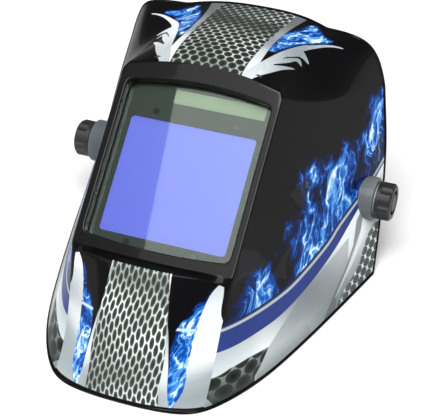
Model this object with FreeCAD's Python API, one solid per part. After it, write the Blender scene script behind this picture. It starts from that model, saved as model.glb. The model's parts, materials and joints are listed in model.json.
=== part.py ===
import FreeCAD, Part
import math
import os

# Auto-darkening welding helmet, in millimetres.
# +Z is up, the lens faces -Y, +X is the wearer's left. The helmet stands on its flat bottom rim at Z = 0.
# Headgear is drawn level, as it sits inside a helmet that stands on a bench.

V = FreeCAD.Vector
os.makedirs("parts", exist_ok=True)

# ---- driving dimensions ----
LEAN = 48.2                      # the lens leans back this many degrees when the rim is on the bench
LENS_CENTRE = V(0, -35, 113)     # centre of the viewing area
WALL = 2.8                       # shell wall

FACE_Y = -11.0                   # depth of the frame's flat face, measured in from the lens plane
FACE_HALF = 60.5                 # half width of the flat face
FACE_LOW, FACE_HIGH = -58.5, 74.0
ARCH_SIDE, ARCH_MID = 78.5, 88.0

OPEN_HALF, OPEN_LOW, OPEN_HIGH = 55.0, -48.5, 66.5
OPEN_BOW_LOW, OPEN_BOW_HIGH = 3.5, 6.0
OPEN_RADIUS = 5.5
COLLAR_WALL = 2.2
COLLAR_BACK = -3.2

FILTER_W, FILTER_LOW, FILTER_HIGH = 114.0, -54.5, 78.5
VIEW_W, VIEW_H = 96.0, 87.0
FILTER_FRONT, FILTER_SPLIT, FILTER_BACK = -0.6, 4.6, 11.6
HOLDER_WALL = 2.4

PIVOT = V(118, 78, 55)           # outer face of the knob seat, wearer's left
SEAT_R = 17.0
BOSS_IN = 99.5                   # inner face of the pivot boss
BOLT_R = 4.0
RUNNING = 0.05                   # radial running clearance
KNOB_R, KNOB_L = 14.6, 12.5

BAND_T = 1.8
BAND_HALF = 77.0                 # half width of the headband loop, centre line
BAND_FRONT, BAND_REAR = -59.0, 134.0
CROWN_H = 70.0

CENTRE_SHIFT = -41.75            # moves the whole part so that its middle is over Y = 0

STOP_LOW, STOP_HIGH = -48.0, 30.0   # tilt of the headgear from worn to raised, about the pivots
TAB_HALF = 10.0                  # half angle of the stop tab
SCREW_SPOTS = ((-38, -61.5), (38, -61.5), (-38, 85), (38, 85))
SCREW_R = 1.45
SENSOR_SPOTS = ((-30.6, 49.4), (30.6, 49.4), (-25.3, -48.2), (25.3, -48.2))
SOLAR_X, SOLAR_Z = (-20.0, 49.5), (57.6, 68.1)
GRIND_TRAVEL = 4.0
KNOB_ROW, BUTTON_ROW = 62.5, 53.2
CELL_X, CAP_R = 39.5, 13.0
CONTROL_KNOBS = ((0.0, 8.0), (-17.5, 6.0), (17.5, 6.0))
LATCH_X, LATCH_Z = 24.0, 83.8
ARM_X = (94.9, 97.9)
ARM_HALF = 10.0
CROWN_Y = (22.0, 66.0)
CROWN_T = 1.2
CROWN_RIVETS = tuple((y, 0) for y in CROWN_Y)
STRAP_RIVETS = ((78, -1), (88, -1))      # (back, up) from the pivot line
BRACKET_RIVETS = ((34, 0), (48, 0))
RIVET_R = 1.7
SIZER_Y, SIZER_Z = 132.0, -20.0
SIZER_KNOB_R = 23.0
PINION_R, PINION_TEETH = 6.0, 12
RACK_PITCH = 2 * math.pi * PINION_R / PINION_TEETH
STRAP_LEVEL = PINION_R + 5.3     # height of each strap's centre line above or below the pinion


# ---- helpers ----
def window(shape):
    """Place a shape drawn as (x, depth behind the lens plane, height up the lens) in the helmet."""
    moved = shape.copy()
    moved.rotate(V(0, 0, 0), V(1, 0, 0), -LEAN)
    moved.translate(LENS_CENTRE)
    return moved


def window_point(x, depth, height):
    turn = FreeCAD.Rotation(V(1, 0, 0), -LEAN)
    return turn.multVec(V(x, depth, height)) + LENS_CENTRE


def headgear(shape):
    """Place a shape drawn about the pivot line (x, back, up) in the helmet."""
    moved = shape.copy()
    moved.translate(V(0, PIVOT.y, PIVOT.z))
    return moved


def mirrored(shape):
    return shape.mirror(V(0, 0, 0), V(1, 0, 0))


def both_sides(shape):
    return Part.makeCompound([shape, mirrored(shape)])


def fused(shapes):
    result = shapes[0]
    for other in shapes[1:]:
        result = result.fuse(other)
    return result.removeSplitter()


def cylinder(radius, start, end):
    """Cylinder from point start to point end."""
    axis = end - start
    return Part.makeCylinder(radius, axis.Length, start, axis)


def ring(outer, inner, start, end):
    return cylinder(outer, start, end).cut(cylinder(inner, start, end))


def box(x0, x1, y0, y1, z0, z1):
    return Part.makeBox(x1 - x0, y1 - y0, z1 - z0, V(x0, y0, z0))


def rounded_prism(x0, x1, z0, z1, y0, y1, radius):
    """Box along Y with its four long edges rounded."""
    block = box(x0, x1, y0, y1, z0, z1)
    return block.makeFillet(radius, edges_along(block, V(0, 1, 0)))


def edges_along(shape, direction):
    found = []
    for edge in shape.Edges:
        if isinstance(edge.Curve, (Part.Line, Part.LineSegment)):
            along = edge.tangentAt(edge.FirstParameter)
            if abs(along.dot(direction)) > 0.999:
                found.append(edge)
    return found


def arched_prism(grow, y0, y1, radius):
    """Prism of the window opening, grown outward by a margin."""
    half = OPEN_HALF + grow
    low, high = OPEN_LOW - grow, OPEN_HIGH + grow
    low_mid, high_mid = low - OPEN_BOW_LOW, high + OPEN_BOW_HIGH
    corners = [V(-half, y0, low), V(half, y0, low), V(half, y0, high), V(-half, y0, high)]
    edges = [
        Part.Arc(corners[0], V(0, y0, low_mid), corners[1]).toShape(),
        Part.LineSegment(corners[1], corners[2]).toShape(),
        Part.Arc(corners[2], V(0, y0, high_mid), corners[3]).toShape(),
        Part.LineSegment(corners[3], corners[0]).toShape(),
    ]
    prism = Part.Face(Part.Wire(edges)).extrude(V(0, y1 - y0, 0))
    return prism.makeFillet(radius, edges_along(prism, V(0, 1, 0)))


def node(name, shape):
    """Write one sub-part."""
    if not shape.isValid():
        print("NOT VALID", name)
    placed = shape.copy()
    placed.translate(V(0, CENTRE_SHIFT, 0))
    placed.exportStep("parts/%s.step" % name)
    print("%-26s %2d solids %9.0f mm3" % (name, len(shape.Solids), shape.Volume))


# ---- helmet shell: a network of spline patches, outer skin and inner skin ----
def flip(poles):
    return [V(-p.x, p.y, p.z) for p in poles]


def across(half):
    """Full-width pole row from its centre pole and the poles towards +X."""
    return flip(half[:0:-1]) + half


def split_column(column, t):
    """Split one four-pole Bezier column at t."""
    a, b, c, d = column
    ab, bc, cd = a + (b - a) * t, b + (c - b) * t, c + (d - c) * t
    abc, bcd = ab + (bc - ab) * t, bc + (cd - bc) * t
    middle = abc + (bcd - abc) * t
    return [a, ab, abc, middle], [middle, bcd, cd, d]


def split_rows(rows, t):
    low, high = [], []
    for column in zip(*rows):
        first, second = split_column(column, t)
        low.append(first)
        high.append(second)
    return [list(row) for row in zip(*low)], [list(row) for row in zip(*high)]


def between(a, b, steps):
    return [a + (b - a) * (i / steps) for i in range(1, steps)]


def side_nets():
    """Pole nets of the wearer's left side: cheek, side wall and temple. Rows run front to rear."""
    low_corner = window_point(FACE_HALF, FACE_Y, FACE_LOW)
    high_corner = window_point(FACE_HALF, FACE_Y, FACE_HIGH)
    arch_corner = window_point(FACE_HALF - 2.5, FACE_Y, ARCH_SIDE)
    front = between(low_corner, high_corner, 3)
    rim = [V(57, -134, 0), V(64.5, -127.5, 0), V(83, -97, 0), V(98, -50, 0), V(113, 6, 0), V(125.5, 57, 0)]
    flare = [V(56, -112, 10), V(64, -107, 18), V(80.5, -79, 23), V(95.5, -28, 22.5), V(110, 26, 24),
             V(123, 76, 22)]
    cheek = [V(57, -100, 48), V(67, -90, 50), V(80, -54, 47), V(95, -3, 45), V(108.5, 50, 47),
             V(119.5, 96, 47)]
    upper = [front[0], V(66, -42.5, 103), V(79, -2, 96), V(92.5, 40, 90), V(104, 80, 88), V(113.5, 117, 90)]
    waist = [low_corner] + [(a + b) * 0.5 for a, b in zip(cheek[1:], upper[1:])]
    under = [front[1], V(67.5, -3, 134.5), V(80, 30, 123), V(91.5, 64, 113.5), V(102, 94, 108),
             V(110.5, 120, 105)]
    crease = [high_corner, V(66.5, 26, 162.5), V(77.5, 51.5, 149.5), V(87.5, 77.5, 140), V(97, 103.5, 132),
              V(106, 129, 125.5)]
    ridge = [arch_corner, V(56.5, 36, 170.5), V(54, 60, 169), V(52.5, 85, 167.5), V(53.5, 108, 166),
             V(57, 131, 165)]
    lower_net = [rim, flare, cheek, waist]
    upper_net = [waist, upper, under, crease]
    scoop = [
        between(high_corner, arch_corner, 6),
        between(crease[1], ridge[1], 6),
        [V(73.8, 52, 152.5), V(70, 53, 155.8), V(66, 54.5, 159), V(62, 56.3, 162.3), V(58, 58, 165.7)],
        [V(84.5, 78, 146), V(79.5, 77.5, 152), V(73.5, 78, 157), V(66.3, 80, 161), V(58.9, 82.4, 164.5)],
        [V(95, 106.5, 141.5), V(91, 105.5, 153), V(84.5, 102.5, 162.5), V(75, 104, 166.5), V(64, 106, 167)],
        [V(103, 130.5, 137.5), V(98.5, 130, 150.5), V(92, 125.5, 162), V(82.5, 123, 167.5),
         V(70.5, 127, 167)],
    ]
    temple_net = [crease] + [list(row) for row in zip(*scoop)] + [ridge]
    return lower_net, upper_net, temple_net


def chin_nets(cheek_low, cheek_high):
    """Chin below the prow ridge, and the sill between the ridge and the flat face."""
    side = [row[0] for row in cheek_low]
    sill_side = [row[0] for row in cheek_high]
    rim = [V(0, -145.6, 0), V(28, -145.4, 0), V(49, -141.5, 0), side[0]]
    bulge = [V(0, -149.5, 14), V(26, -147, 14), V(46, -129, 12), side[1]]
    throat = [V(0, -127.5, 58), V(25, -124, 55), V(46, -107, 48), side[2]]
    prow = [window_point(0, -28, -67), window_point(24, -26, -66.5), window_point(46, -14.5, -62.5), side[3]]
    low_corner = window_point(FACE_HALF, FACE_Y, FACE_LOW)
    face = [window_point(x, FACE_Y, FACE_LOW - 1.5 * (x < 40)) for x in (0, 24, 46)] + [low_corner]
    sill_rows = [[a + (b - a) * (i / 3) for a, b in zip(prow[:3], face[:3])] + [sill_side[i]] for i in (1, 2)]
    chin = [across(row) for row in (rim, bulge, throat, prow)]
    sill = [across(row) for row in [prow] + sill_rows + [face]]
    return chin, sill


def forehead_net(ridge):
    """Forehead and crown, from the top of the flat face back to the rear rim."""
    arch = [window_point(0, FACE_Y, ARCH_MID), window_point(32, FACE_Y, ARCH_MID - 3), ridge[0]]
    rows = [
        arch,
        [V(0, 29, 185.5), V(34, 31, 182), ridge[1]],
        [V(0, 60, 184), V(34, 60, 180), ridge[2]],
        [V(0, 89, 179.5), V(34, 88, 176.5), ridge[3]],
        [V(0, 120, 172.5), V(34, 117, 170.5), ridge[4]],
        [V(0, 146, 165.5), V(36, 144, 165.5), ridge[5]],
    ]
    return [across(row) for row in rows]


def knots(count):
    inner = count - 4
    return [4] + [1] * inner + [4], [float(i) for i in range(inner + 2)]


def spline_face(rows):
    mults_v, knots_v = knots(len(rows))
    mults_u, knots_u = knots(len(rows[0]))
    surface = Part.BSplineSurface()
    poles = [list(column) for column in zip(*rows)]
    surface.buildFromPolesMultsKnots(poles, mults_u, mults_v, knots_u, knots_v, False, False, 3, 3)
    return surface.toShape()


def spline_edge(poles):
    mults, values = knots(len(poles))
    curve = Part.BSplineCurve()
    curve.buildFromPolesMultsKnots(poles, mults, values, False, 3)
    return curve.toShape()


def pole_key(p):
    return (round(p.x, 3), round(p.y, 3), round(p.z, 3))


def inward(nets, face_normal, face_poles):
    """For each outer pole, the pole of the inner skin one wall further in."""
    normals = {}
    for net in nets:
        for low, high in zip(net, net[1:]):
            for i in range(len(low) - 1):
                quad = [low[i], low[i + 1], high[i + 1], high[i]]
                normal = (quad[2] - quad[0]).cross(quad[3] - quad[1])
                if normal.Length > 1e-6:
                    normal.normalize()
                    for p in quad:
                        normals.setdefault(pole_key(p), []).append(normal)
    for p in face_poles:
        normals.setdefault(pole_key(p), []).append(face_normal)
    moved = {}
    for key, found in normals.items():
        mean = V(0, 0, 0)
        for normal in found:
            mean += normal
        mean.normalize()
        reach = sum(mean.dot(normal) for normal in found) / len(found)
        moved[key] = V(*key) - mean * (WALL / max(reach, 0.6))
    return moved


def shell_skin():
    """Closed solid of the shell's wall, before the window is cut."""
    lower_net, upper_net, temple_net = side_nets()
    cheek_low, cheek_high = split_rows(lower_net, 0.93)
    chin, sill = chin_nets(cheek_low, cheek_high)
    forehead = forehead_net(temple_net[-1])
    left = [cheek_low, cheek_high, upper_net, temple_net]
    right = [[flip(row)[::-1] for row in net] for net in left]
    outer = left + right + [chin, sill, forehead]

    def face_loop(nets):
        side = [[row[0] for row in net] for net in nets[2:4]]
        other = [[row[-1] for row in net] for net in nets[6:8]]
        return side + other + [nets[9][-1], nets[10][0]]

    face_poles = [p for poles in face_loop(outer) for p in poles]
    face_normal = window_point(0, -1, 0) - LENS_CENTRE
    moved = inward(outer, face_normal, face_poles)
    for p in face_poles:
        inner = moved[pole_key(p)]
        depth = (inner - LENS_CENTRE).dot(face_normal)
        moved[pole_key(p)] = inner + face_normal * (-FACE_Y - WALL - depth)
    for net in outer[:1] + outer[4:5] + outer[8:9]:
        for p in net[0]:
            moved[pole_key(p)].z = 0.0
    inner = [[[moved[pole_key(p)] for p in row] for row in net] for net in outer]

    faces = [spline_face(net) for net in outer + inner]
    for nets in (outer, inner):
        faces.append(Part.Face(Part.Wire(Part.__sortEdges__([spline_edge(p) for p in face_loop(nets)]))))
    for index in (0, 4, 8):
        a, b = outer[index][0], inner[index][0]
        ends = [Part.makeLine(a[0], b[0]), Part.makeLine(a[-1], b[-1])]
        faces.append(Part.Face(Part.Wire(Part.__sortEdges__([spline_edge(a), spline_edge(b)] + ends))))
    for index in range(8):
        end = -1 if index < 4 else 0
        a = spline_edge([row[end] for row in outer[index]])
        b = spline_edge([row[end] for row in inner[index]])
        faces.append(Part.makeRuledSurface(a, b))
    faces.append(Part.makeRuledSurface(spline_edge(outer[10][-1]), spline_edge(inner[10][-1])))
    shell = Part.makeShell(faces)
    shell.sewShape(0.01)
    solid = Part.makeSolid(shell if shell.ShapeType == "Shell" else shell.Shells[0])
    if solid.Volume < 0:
        solid.reverse()
    return solid


def helmet_shell():
    """Moulded shell: window opening and lens collar, knob seats with pivot bores, stops, screw bosses."""
    shell = shell_skin()
    opening = window(arched_prism(0, FACE_Y - 4, 2, OPEN_RADIUS))
    collar = arched_prism(COLLAR_WALL, FACE_Y + 1, COLLAR_BACK, OPEN_RADIUS + COLLAR_WALL)
    shell = shell.fuse(window(collar))
    seat = cylinder(SEAT_R, V(BOSS_IN, PIVOT.y, PIVOT.z), PIVOT)
    for angle in (STOP_LOW - TAB_HALF - 6, STOP_HIGH + TAB_HALF + 6):
        seat = seat.fuse(headgear(sector(BOSS_IN - 1.5, BOSS_IN, 14.2, SEAT_R, angle + 90, 6)))
    shell = shell.fuse(seat).fuse(mirrored(seat))
    for x, height in SCREW_SPOTS:
        shell = shell.fuse(window(cylinder(3.4, V(x, FACE_Y + 1, height), V(x, 8.9, height))))
    shell = shell.cut(opening)
    for x, height in SCREW_SPOTS:
        shell = shell.cut(window(cylinder(SCREW_R, V(x, -4, height), V(x, 10, height))))
    bore = cylinder(BOLT_R + RUNNING, V(BOSS_IN - 3, PIVOT.y, PIVOT.z), PIVOT + V(3, 0, 0))
    return shell.cut(bore).cut(mirrored(bore)).removeSplitter()


def sector(x0, x1, r0, r1, middle, half):
    """Piece of a flat ring about the pivot line, centred on an angle from +Y towards +Z."""
    def spoke(radius, angle):
        turn = math.radians(angle)
        return V(x0, radius * math.cos(turn), radius * math.sin(turn))
    a, b = middle - half, middle + half
    edges = [
        Part.Arc(spoke(r1, a), spoke(r1, middle), spoke(r1, b)).toShape(),
        Part.LineSegment(spoke(r1, b), spoke(r0, b)).toShape(),
        Part.Arc(spoke(r0, b), spoke(r0, middle), spoke(r0, a)).toShape(),
        Part.LineSegment(spoke(r0, a), spoke(r1, a)).toShape(),
    ]
    return Part.Face(Part.Wire(edges)).extrude(V(x1 - x0, 0, 0))


# ---- lenses and filter cartridge, drawn in the lens frame ----
def filter_slab(inset, y0, y1, radius):
    half = FILTER_W / 2 - inset
    return rounded_prism(-half, half, FILTER_LOW + inset, FILTER_HIGH - inset, y0, y1, radius)


def view_slab(grow, y0, y1, radius):
    half_w, half_h = VIEW_W / 2 + grow, VIEW_H / 2 + grow
    return rounded_prism(-half_w, half_w, -half_h, half_h, y0, y1, radius)


def lens_gasket():
    seal = filter_slab(0.4, -3.1, -2.0, 5)
    return window(seal.cut(arched_prism(0.6, -4, 0, OPEN_RADIUS)))


def cover_lens():
    return window(filter_slab(0.3, -2.0, -1.0, 5))


def filter_front_housing():
    case = filter_slab(0, FILTER_FRONT, FILTER_SPLIT, 6)
    case = case.cut(view_slab(0, FILTER_FRONT - 1, 1, 3)).cut(view_slab(1.6, 0.4, FILTER_SPLIT + 1, 3))
    case = case.cut(box(*SOLAR_X, FILTER_FRONT - 1, 2.4, *SOLAR_Z))
    case = case.cut(box(-52, 52, 2.2, FILTER_SPLIT + 1, 49.5, 74))
    for x, height in SENSOR_SPOTS:
        case = case.cut(cylinder(2.4, V(x, FILTER_FRONT - 1, height), V(x, 2.1, height)))
    return window(case)


def filter_glass():
    return window(view_slab(1.5, 0.4, 4.4, 3))


def solar_panel():
    return window(box(SOLAR_X[0] + 0.1, SOLAR_X[1] - 0.1, -0.3, 2.2, SOLAR_Z[0] + 0.1, SOLAR_Z[1] - 0.1))


def light_sensors():
    domes = []
    for x, height in SENSOR_SPOTS:
        body = cylinder(2.3, V(x, -0.4, height), V(x, 2.0, height))
        domes.append(window(body.makeFillet(0.4, body.Edges[:1])))
    return Part.makeCompound(domes)


def circuit_board():
    board = box(-51, 51, 2.4, 4.0, 50, 73.5)
    for x, width in ((0, 10), (-17.5, 7), (17.5, 7)):
        board = board.fuse(box(x - width / 2, x + width / 2, 4.0, 8.6, KNOB_ROW - 4, KNOB_ROW + 4))
    board = board.fuse(box(-14, -5, 4.0, 6.0, 51, 54)).fuse(box(5, 14, 4.0, 6.0, 51, 54))
    return window(board)


def battery_cells():
    cells = [cylinder(12.25, V(x, 4.7, KNOB_ROW), V(x, 9.5, KNOB_ROW)) for x in (-CELL_X, CELL_X)]
    return window(Part.makeCompound([cell.makeFillet(0.5, cell.Edges) for cell in cells]))


def filter_rear_housing():
    case = filter_slab(0, FILTER_SPLIT, FILTER_BACK, 6)
    case = case.cut(view_slab(-2, FILTER_SPLIT - 1, FILTER_BACK + 1, 3))
    case = case.cut(view_slab(5, 10.0, FILTER_BACK + 1, 4))
    case = case.cut(box(-53.5, 53.5, FILTER_SPLIT - 1, 9.6, 49.8, 75.5))
    for x in (-CELL_X, CELL_X):
        case = case.cut(cylinder(CAP_R + RUNNING, V(x, 9, KNOB_ROW), V(x, 13, KNOB_ROW)))
    for x, _ in CONTROL_KNOBS:
        case = case.cut(cylinder(2.5 + RUNNING, V(x, 9, KNOB_ROW), V(x, 13, KNOB_ROW)))
    case = case.cut(cylinder(2.2 + RUNNING, V(-9.5, 9, BUTTON_ROW), V(-9.5, 13, BUTTON_ROW)))
    case = case.cut(box(5.9, 5.9 + 4 + GRIND_TRAVEL + 0.2, 9, 13, BUTTON_ROW - 1.3, BUTTON_ROW + 1.3))
    return window(case)


def housing_screws():
    screws = []
    for x, height in ((-54.2, -51.5), (54.2, -51.5), (-54.2, 76), (54.2, 76)):
        head = cylinder(1.8, V(x, FILTER_BACK, height), V(x, FILTER_BACK + 0.9, height))
        screws.append(window(head.cut(box(x - 2, x + 2, FILTER_BACK + 0.4, 13, height - 0.25, height + 0.25))))
    return Part.makeCompound(screws)


def inner_cover_lens():
    return window(view_slab(4.7, 10.1, 11.1, 4))


def battery_cap(x):
    """Quarter-turn cap over one coin cell, with a coin slot."""
    cap = cylinder(CAP_R, V(x, 9.7, KNOB_ROW), V(x, 11.7, KNOB_ROW))
    rim = cylinder(CAP_R + 1.2, V(x, 11.7, KNOB_ROW), V(x, 12.7, KNOB_ROW))
    cap = cap.fuse(rim.makeFillet(0.4, [rim.Edges[0]]))
    return window(cap.cut(box(x - 8, x + 8, 11.2, 13, KNOB_ROW - 1, KNOB_ROW + 1)).removeSplitter())


def control_knob(x, radius):
    """Finger knob with a pointer rib, on a shaft through the housing."""
    knob = cylinder(radius, V(x, 11.9, KNOB_ROW), V(x, 15.4, KNOB_ROW))
    teeth = 20
    for i in range(teeth):
        turn = 2 * math.pi * i / teeth
        cx, cz = x + (radius + 0.25) * math.cos(turn), KNOB_ROW + (radius + 0.25) * math.sin(turn)
        knob = knob.cut(cylinder(0.6, V(cx, 11, cz), V(cx, 16, cz)))
    rib = box(x - 0.8, x + 0.8, 15.4, 16.6, KNOB_ROW - radius * 0.75, KNOB_ROW + radius * 0.75)
    return window(fused([knob, rib, cylinder(2.5, V(x, 8.7, KNOB_ROW), V(x, 12, KNOB_ROW))]))


def test_button():
    stem = cylinder(2.2, V(-9.5, 8.2, BUTTON_ROW), V(-9.5, 12.9, BUTTON_ROW))
    flange = cylinder(3.0, V(-9.5, 7.6, BUTTON_ROW), V(-9.5, 8.4, BUTTON_ROW))
    return window(fused([stem, flange]))


def grind_switch():
    slider = box(6, 10, 8.6, 12.6, BUTTON_ROW - 1.2, BUTTON_ROW + 1.2)
    return window(slider.fuse(box(5, 15, 7.6, 8.6, BUTTON_ROW - 1.8, BUTTON_ROW + 1.8)).removeSplitter())


def lens_holder():
    """Frame that keeps the cover lens and the cartridge against the collar."""
    inner, outer = 0.3, 0.3 + HOLDER_WALL
    ring_out = filter_slab(-outer, -3.1, 11.6, 9)
    ring_in = filter_slab(-inner, -4, 13, 6.5)
    holder = ring_out.cut(ring_in)
    for x, height in SCREW_SPOTS:
        ear = cylinder(3.6, V(x, 9.0, height), V(x, 11.0, height))
        edge = FILTER_LOW - 1 if height < 0 else FILTER_HIGH + 1
        web = box(x - 3.6, x + 3.6, 9.0, 11.0, min(edge, height), max(edge, height))
        holder = holder.fuse(ear).fuse(web)
    for x in (-30, 30):
        holder = holder.fuse(box(x - 7, x + 7, 11.6, 13.2, FILTER_LOW - outer, FILTER_LOW + 3))
    for x in (-LATCH_X, LATCH_X):
        lug = cylinder(4.2, V(x, 4, LATCH_Z), V(x, 11.6, LATCH_Z))
        web = box(x - 4.2, x + 4.2, 4, 11.6, FILTER_HIGH + 1, LATCH_Z)
        holder = holder.fuse(lug).fuse(web)
    for x in (-LATCH_X, LATCH_X):
        holder = holder.cut(cylinder(1.6 + RUNNING, V(x, 5, LATCH_Z), V(x, 13, LATCH_Z)))
    for x, height in SCREW_SPOTS:
        holder = holder.cut(cylinder(SCREW_R + 0.1, V(x, 8, height), V(x, 12, height)))
    return window(holder.removeSplitter())


def holder_screws():
    screws = []
    for x, height in SCREW_SPOTS:
        shank = cylinder(SCREW_R, V(x, -3, height), V(x, 11.2, height))
        head = cylinder(2.9, V(x, 11.0, height), V(x, 12.8, height))
        slot = box(x - 2, x + 2, 12.1, 13, height - 0.4, height + 0.4)
        screws.append(window(fused([shank, head.makeFillet(0.5, [head.Edges[0]])]).cut(slot)))
    return Part.makeCompound(screws)


def cartridge_latch(x):
    """Turn latch that holds the top of the cartridge in its frame."""
    pin = cylinder(1.6, V(x, 6, LATCH_Z), V(x, 12, LATCH_Z))
    hub = cylinder(4.0, V(x, 11.8, LATCH_Z), V(x, 13.6, LATCH_Z))
    arm = box(x - 3, x + 3, 11.8, 13.6, LATCH_Z - 11, LATCH_Z)
    return window(fused([pin, hub, arm]))


# ---- pivots, one for each side, drawn on the wearer's left ----
def at_pivot(x):
    return V(x, PIVOT.y, PIVOT.z)


def tension_knob():
    x0, x1 = PIVOT.x + 1.3, PIVOT.x + 1.3 + KNOB_L
    knob = cylinder(KNOB_R, at_pivot(x0), at_pivot(x1))
    knob = knob.makeChamfer(1.6, [edge for edge in knob.Edges if edge.CenterOfMass.x > x1 - 0.1])
    grips = 8
    for i in range(grips):
        turn = 2 * math.pi * (i + 0.5) / grips
        out = V(0, math.cos(turn), math.sin(turn)) * (KNOB_R + 5.2)
        knob = knob.cut(cylinder(6.4, at_pivot(x0 + 3.2) + out, at_pivot(x1 + 1) + out))
    knob = knob.cut(ring(9.6, 6.8, at_pivot(x1 - 2.2), at_pivot(x1 + 1)))
    knob = knob.cut(cylinder(5.2, at_pivot(x0 - 1), at_pivot(x0 + 9)))
    return knob.removeSplitter()


def knob_insert():
    x0 = PIVOT.x + 1.3
    return ring(5.2, BOLT_R, at_pivot(x0), at_pivot(x0 + 8.8))


def outer_washer():
    return ring(12.5, BOLT_R + 0.1, at_pivot(PIVOT.x + 0.1), at_pivot(PIVOT.x + 1.2))


def tilt_stop_disc():
    """Friction disc between the shell and the arm; its tab meets the two stops on the shell."""
    disc = ring(13.0, BOLT_R + 0.1, at_pivot(BOSS_IN - 1.4), at_pivot(BOSS_IN - 0.1))
    tab = headgear(sector(BOSS_IN - 1.4, BOSS_IN - 0.1, 12.5, SEAT_R - 0.4, 90, TAB_HALF))
    return fused([disc, tab])


def pivot_bolt():
    shank = cylinder(BOLT_R, at_pivot(ARM_X[0] - 0.2), at_pivot(PIVOT.x + 1.3 + 8.8))
    head = cylinder(8.0, at_pivot(ARM_X[0] - 3.2), at_pivot(ARM_X[0]))
    return fused([shank, head.makeFillet(1.2, [edge for edge in head.Edges if edge.CenterOfMass.x < ARM_X[0] - 3])])


def pivot_arm():
    """Plate from the pivot back along the temple, with click notches for the reach setting."""
    plate = fused([
        cylinder(14.5, at_pivot(ARM_X[0]), at_pivot(ARM_X[1])),
        headgear(box(*ARM_X, 0, 62, -ARM_HALF, ARM_HALF)),
    ])
    for i in range(8):
        y = 22 + i * 5
        plate = plate.cut(headgear(box(ARM_X[0] - 1, ARM_X[1] + 1, y, y + 2, -ARM_HALF - 1, -ARM_HALF + 1.6)))
    plate = plate.cut(headgear(box(ARM_X[0] - 1, ARM_X[1] + 1, 22, 56, -2.5, 2.5)))
    return plate.cut(cylinder(BOLT_R, at_pivot(ARM_X[0] - 1), at_pivot(ARM_X[1] + 1)))


# ---- headgear, drawn about the pivot line ----
def band_path(offset):
    """Half of the head loop from the rear centre to the front centre, as tangent arcs."""
    rear_line, rear_r, rear_turn = 24.0, 44.0, math.radians(50)
    side_r = (BAND_HALF - rear_line - rear_r * math.sin(rear_turn)) / (1 - math.sin(rear_turn))
    front_turn = math.radians(35)
    c, s = math.cos(front_turn), math.sin(front_turn)
    length = BAND_REAR - rear_r * (1 - math.cos(rear_turn)) - side_r * math.cos(rear_turn) - BAND_FRONT
    determinant = (1 - c) * (1 - s) - c * s
    temple_r = (BAND_HALF * (1 - s) - c * length) / determinant
    front_r = ((1 - c) * length - s * BAND_HALF) / determinant
    point, heading = V(0, BAND_REAR, 0), 0.0
    edges = []
    moves = [(None, rear_line), (rear_r, rear_turn), (side_r, math.pi / 2 - rear_turn),
             (temple_r, front_turn), (front_r, math.pi / 2 - front_turn)]
    for radius, amount in moves:
        ahead = V(math.cos(heading), -math.sin(heading), 0)
        out = V(math.sin(heading), math.cos(heading), 0)
        if radius is None:
            end = point + ahead * amount
            edges.append(Part.LineSegment(point + out * offset, end + out * offset).toShape())
            point = end
            continue
        centre = point - out * radius
        spots = []
        for part in (0.0, 0.5, 1.0):
            turn = heading + amount * part
            spots.append(centre + V(math.sin(turn), math.cos(turn), 0) * (radius + offset))
        edges.append(Part.Arc(*spots).toShape())
        heading += amount
        point = centre + V(math.sin(heading), math.cos(heading), 0) * radius
    return edges


def loop_solid(offset, z0, z1):
    """Everything inside the head loop, out to an offset from its centre line."""
    edges = band_path(offset)
    edges += [edge.mirror(V(0, 0, 0), V(1, 0, 0)) for edge in edges]
    face = Part.Face(Part.Wire(Part.__sortEdges__(edges)))
    face.translate(V(0, 0, z0))
    return face.extrude(V(0, 0, z1 - z0))


def band_tube(inner, outer, z0, z1):
    """Closed head loop between two offsets from its centre line."""
    return loop_solid(outer, z0, z1).cut(loop_solid(inner, z0, z1))


def side_profile(points, radius=0):
    """Prism along X from a side outline of (back, up) points."""
    wire = Part.makePolygon([V(-150, y, z) for y, z in points + points[:1]])
    prism = Part.Face(wire).extrude(V(300, 0, 0))
    return prism.makeFillet(radius, edges_along(prism, V(1, 0, 0))) if radius else prism


def headband():
    tube = band_tube(-BAND_T / 2, BAND_T / 2, -40, 40)
    outline = [(-70, -8), (0, -9), (40, -12), (92, -11), (92, 9), (40, 10), (0, 14), (-70, 24)]
    return headgear(riveted(tube.common(side_profile(outline, 5))))


def reach_bracket():
    """Block on the temple that the pivot arm slides in."""
    lip = ARM_HALF + 2.4
    block = box(66, ARM_X[0] - 0.15, 28, 54, -lip, lip).cut(loop_solid(BAND_T / 2 + 0.05, -40, 40))
    wings = box(ARM_X[0] - 0.15, ARM_X[1] + 0.15, 28, 54, -lip, lip)
    wings = wings.cut(box(90, 110, 20, 60, -ARM_HALF - 0.1, ARM_HALF + 0.1))
    lips = box(ARM_X[1] + 0.15, ARM_X[1] + 2, 28, 54, -lip, lip)
    lips = lips.cut(box(90, 110, 20, 60, -ARM_HALF + 2, ARM_HALF - 2))
    return headgear(riveted(fused([block, wings, lips])))


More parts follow.
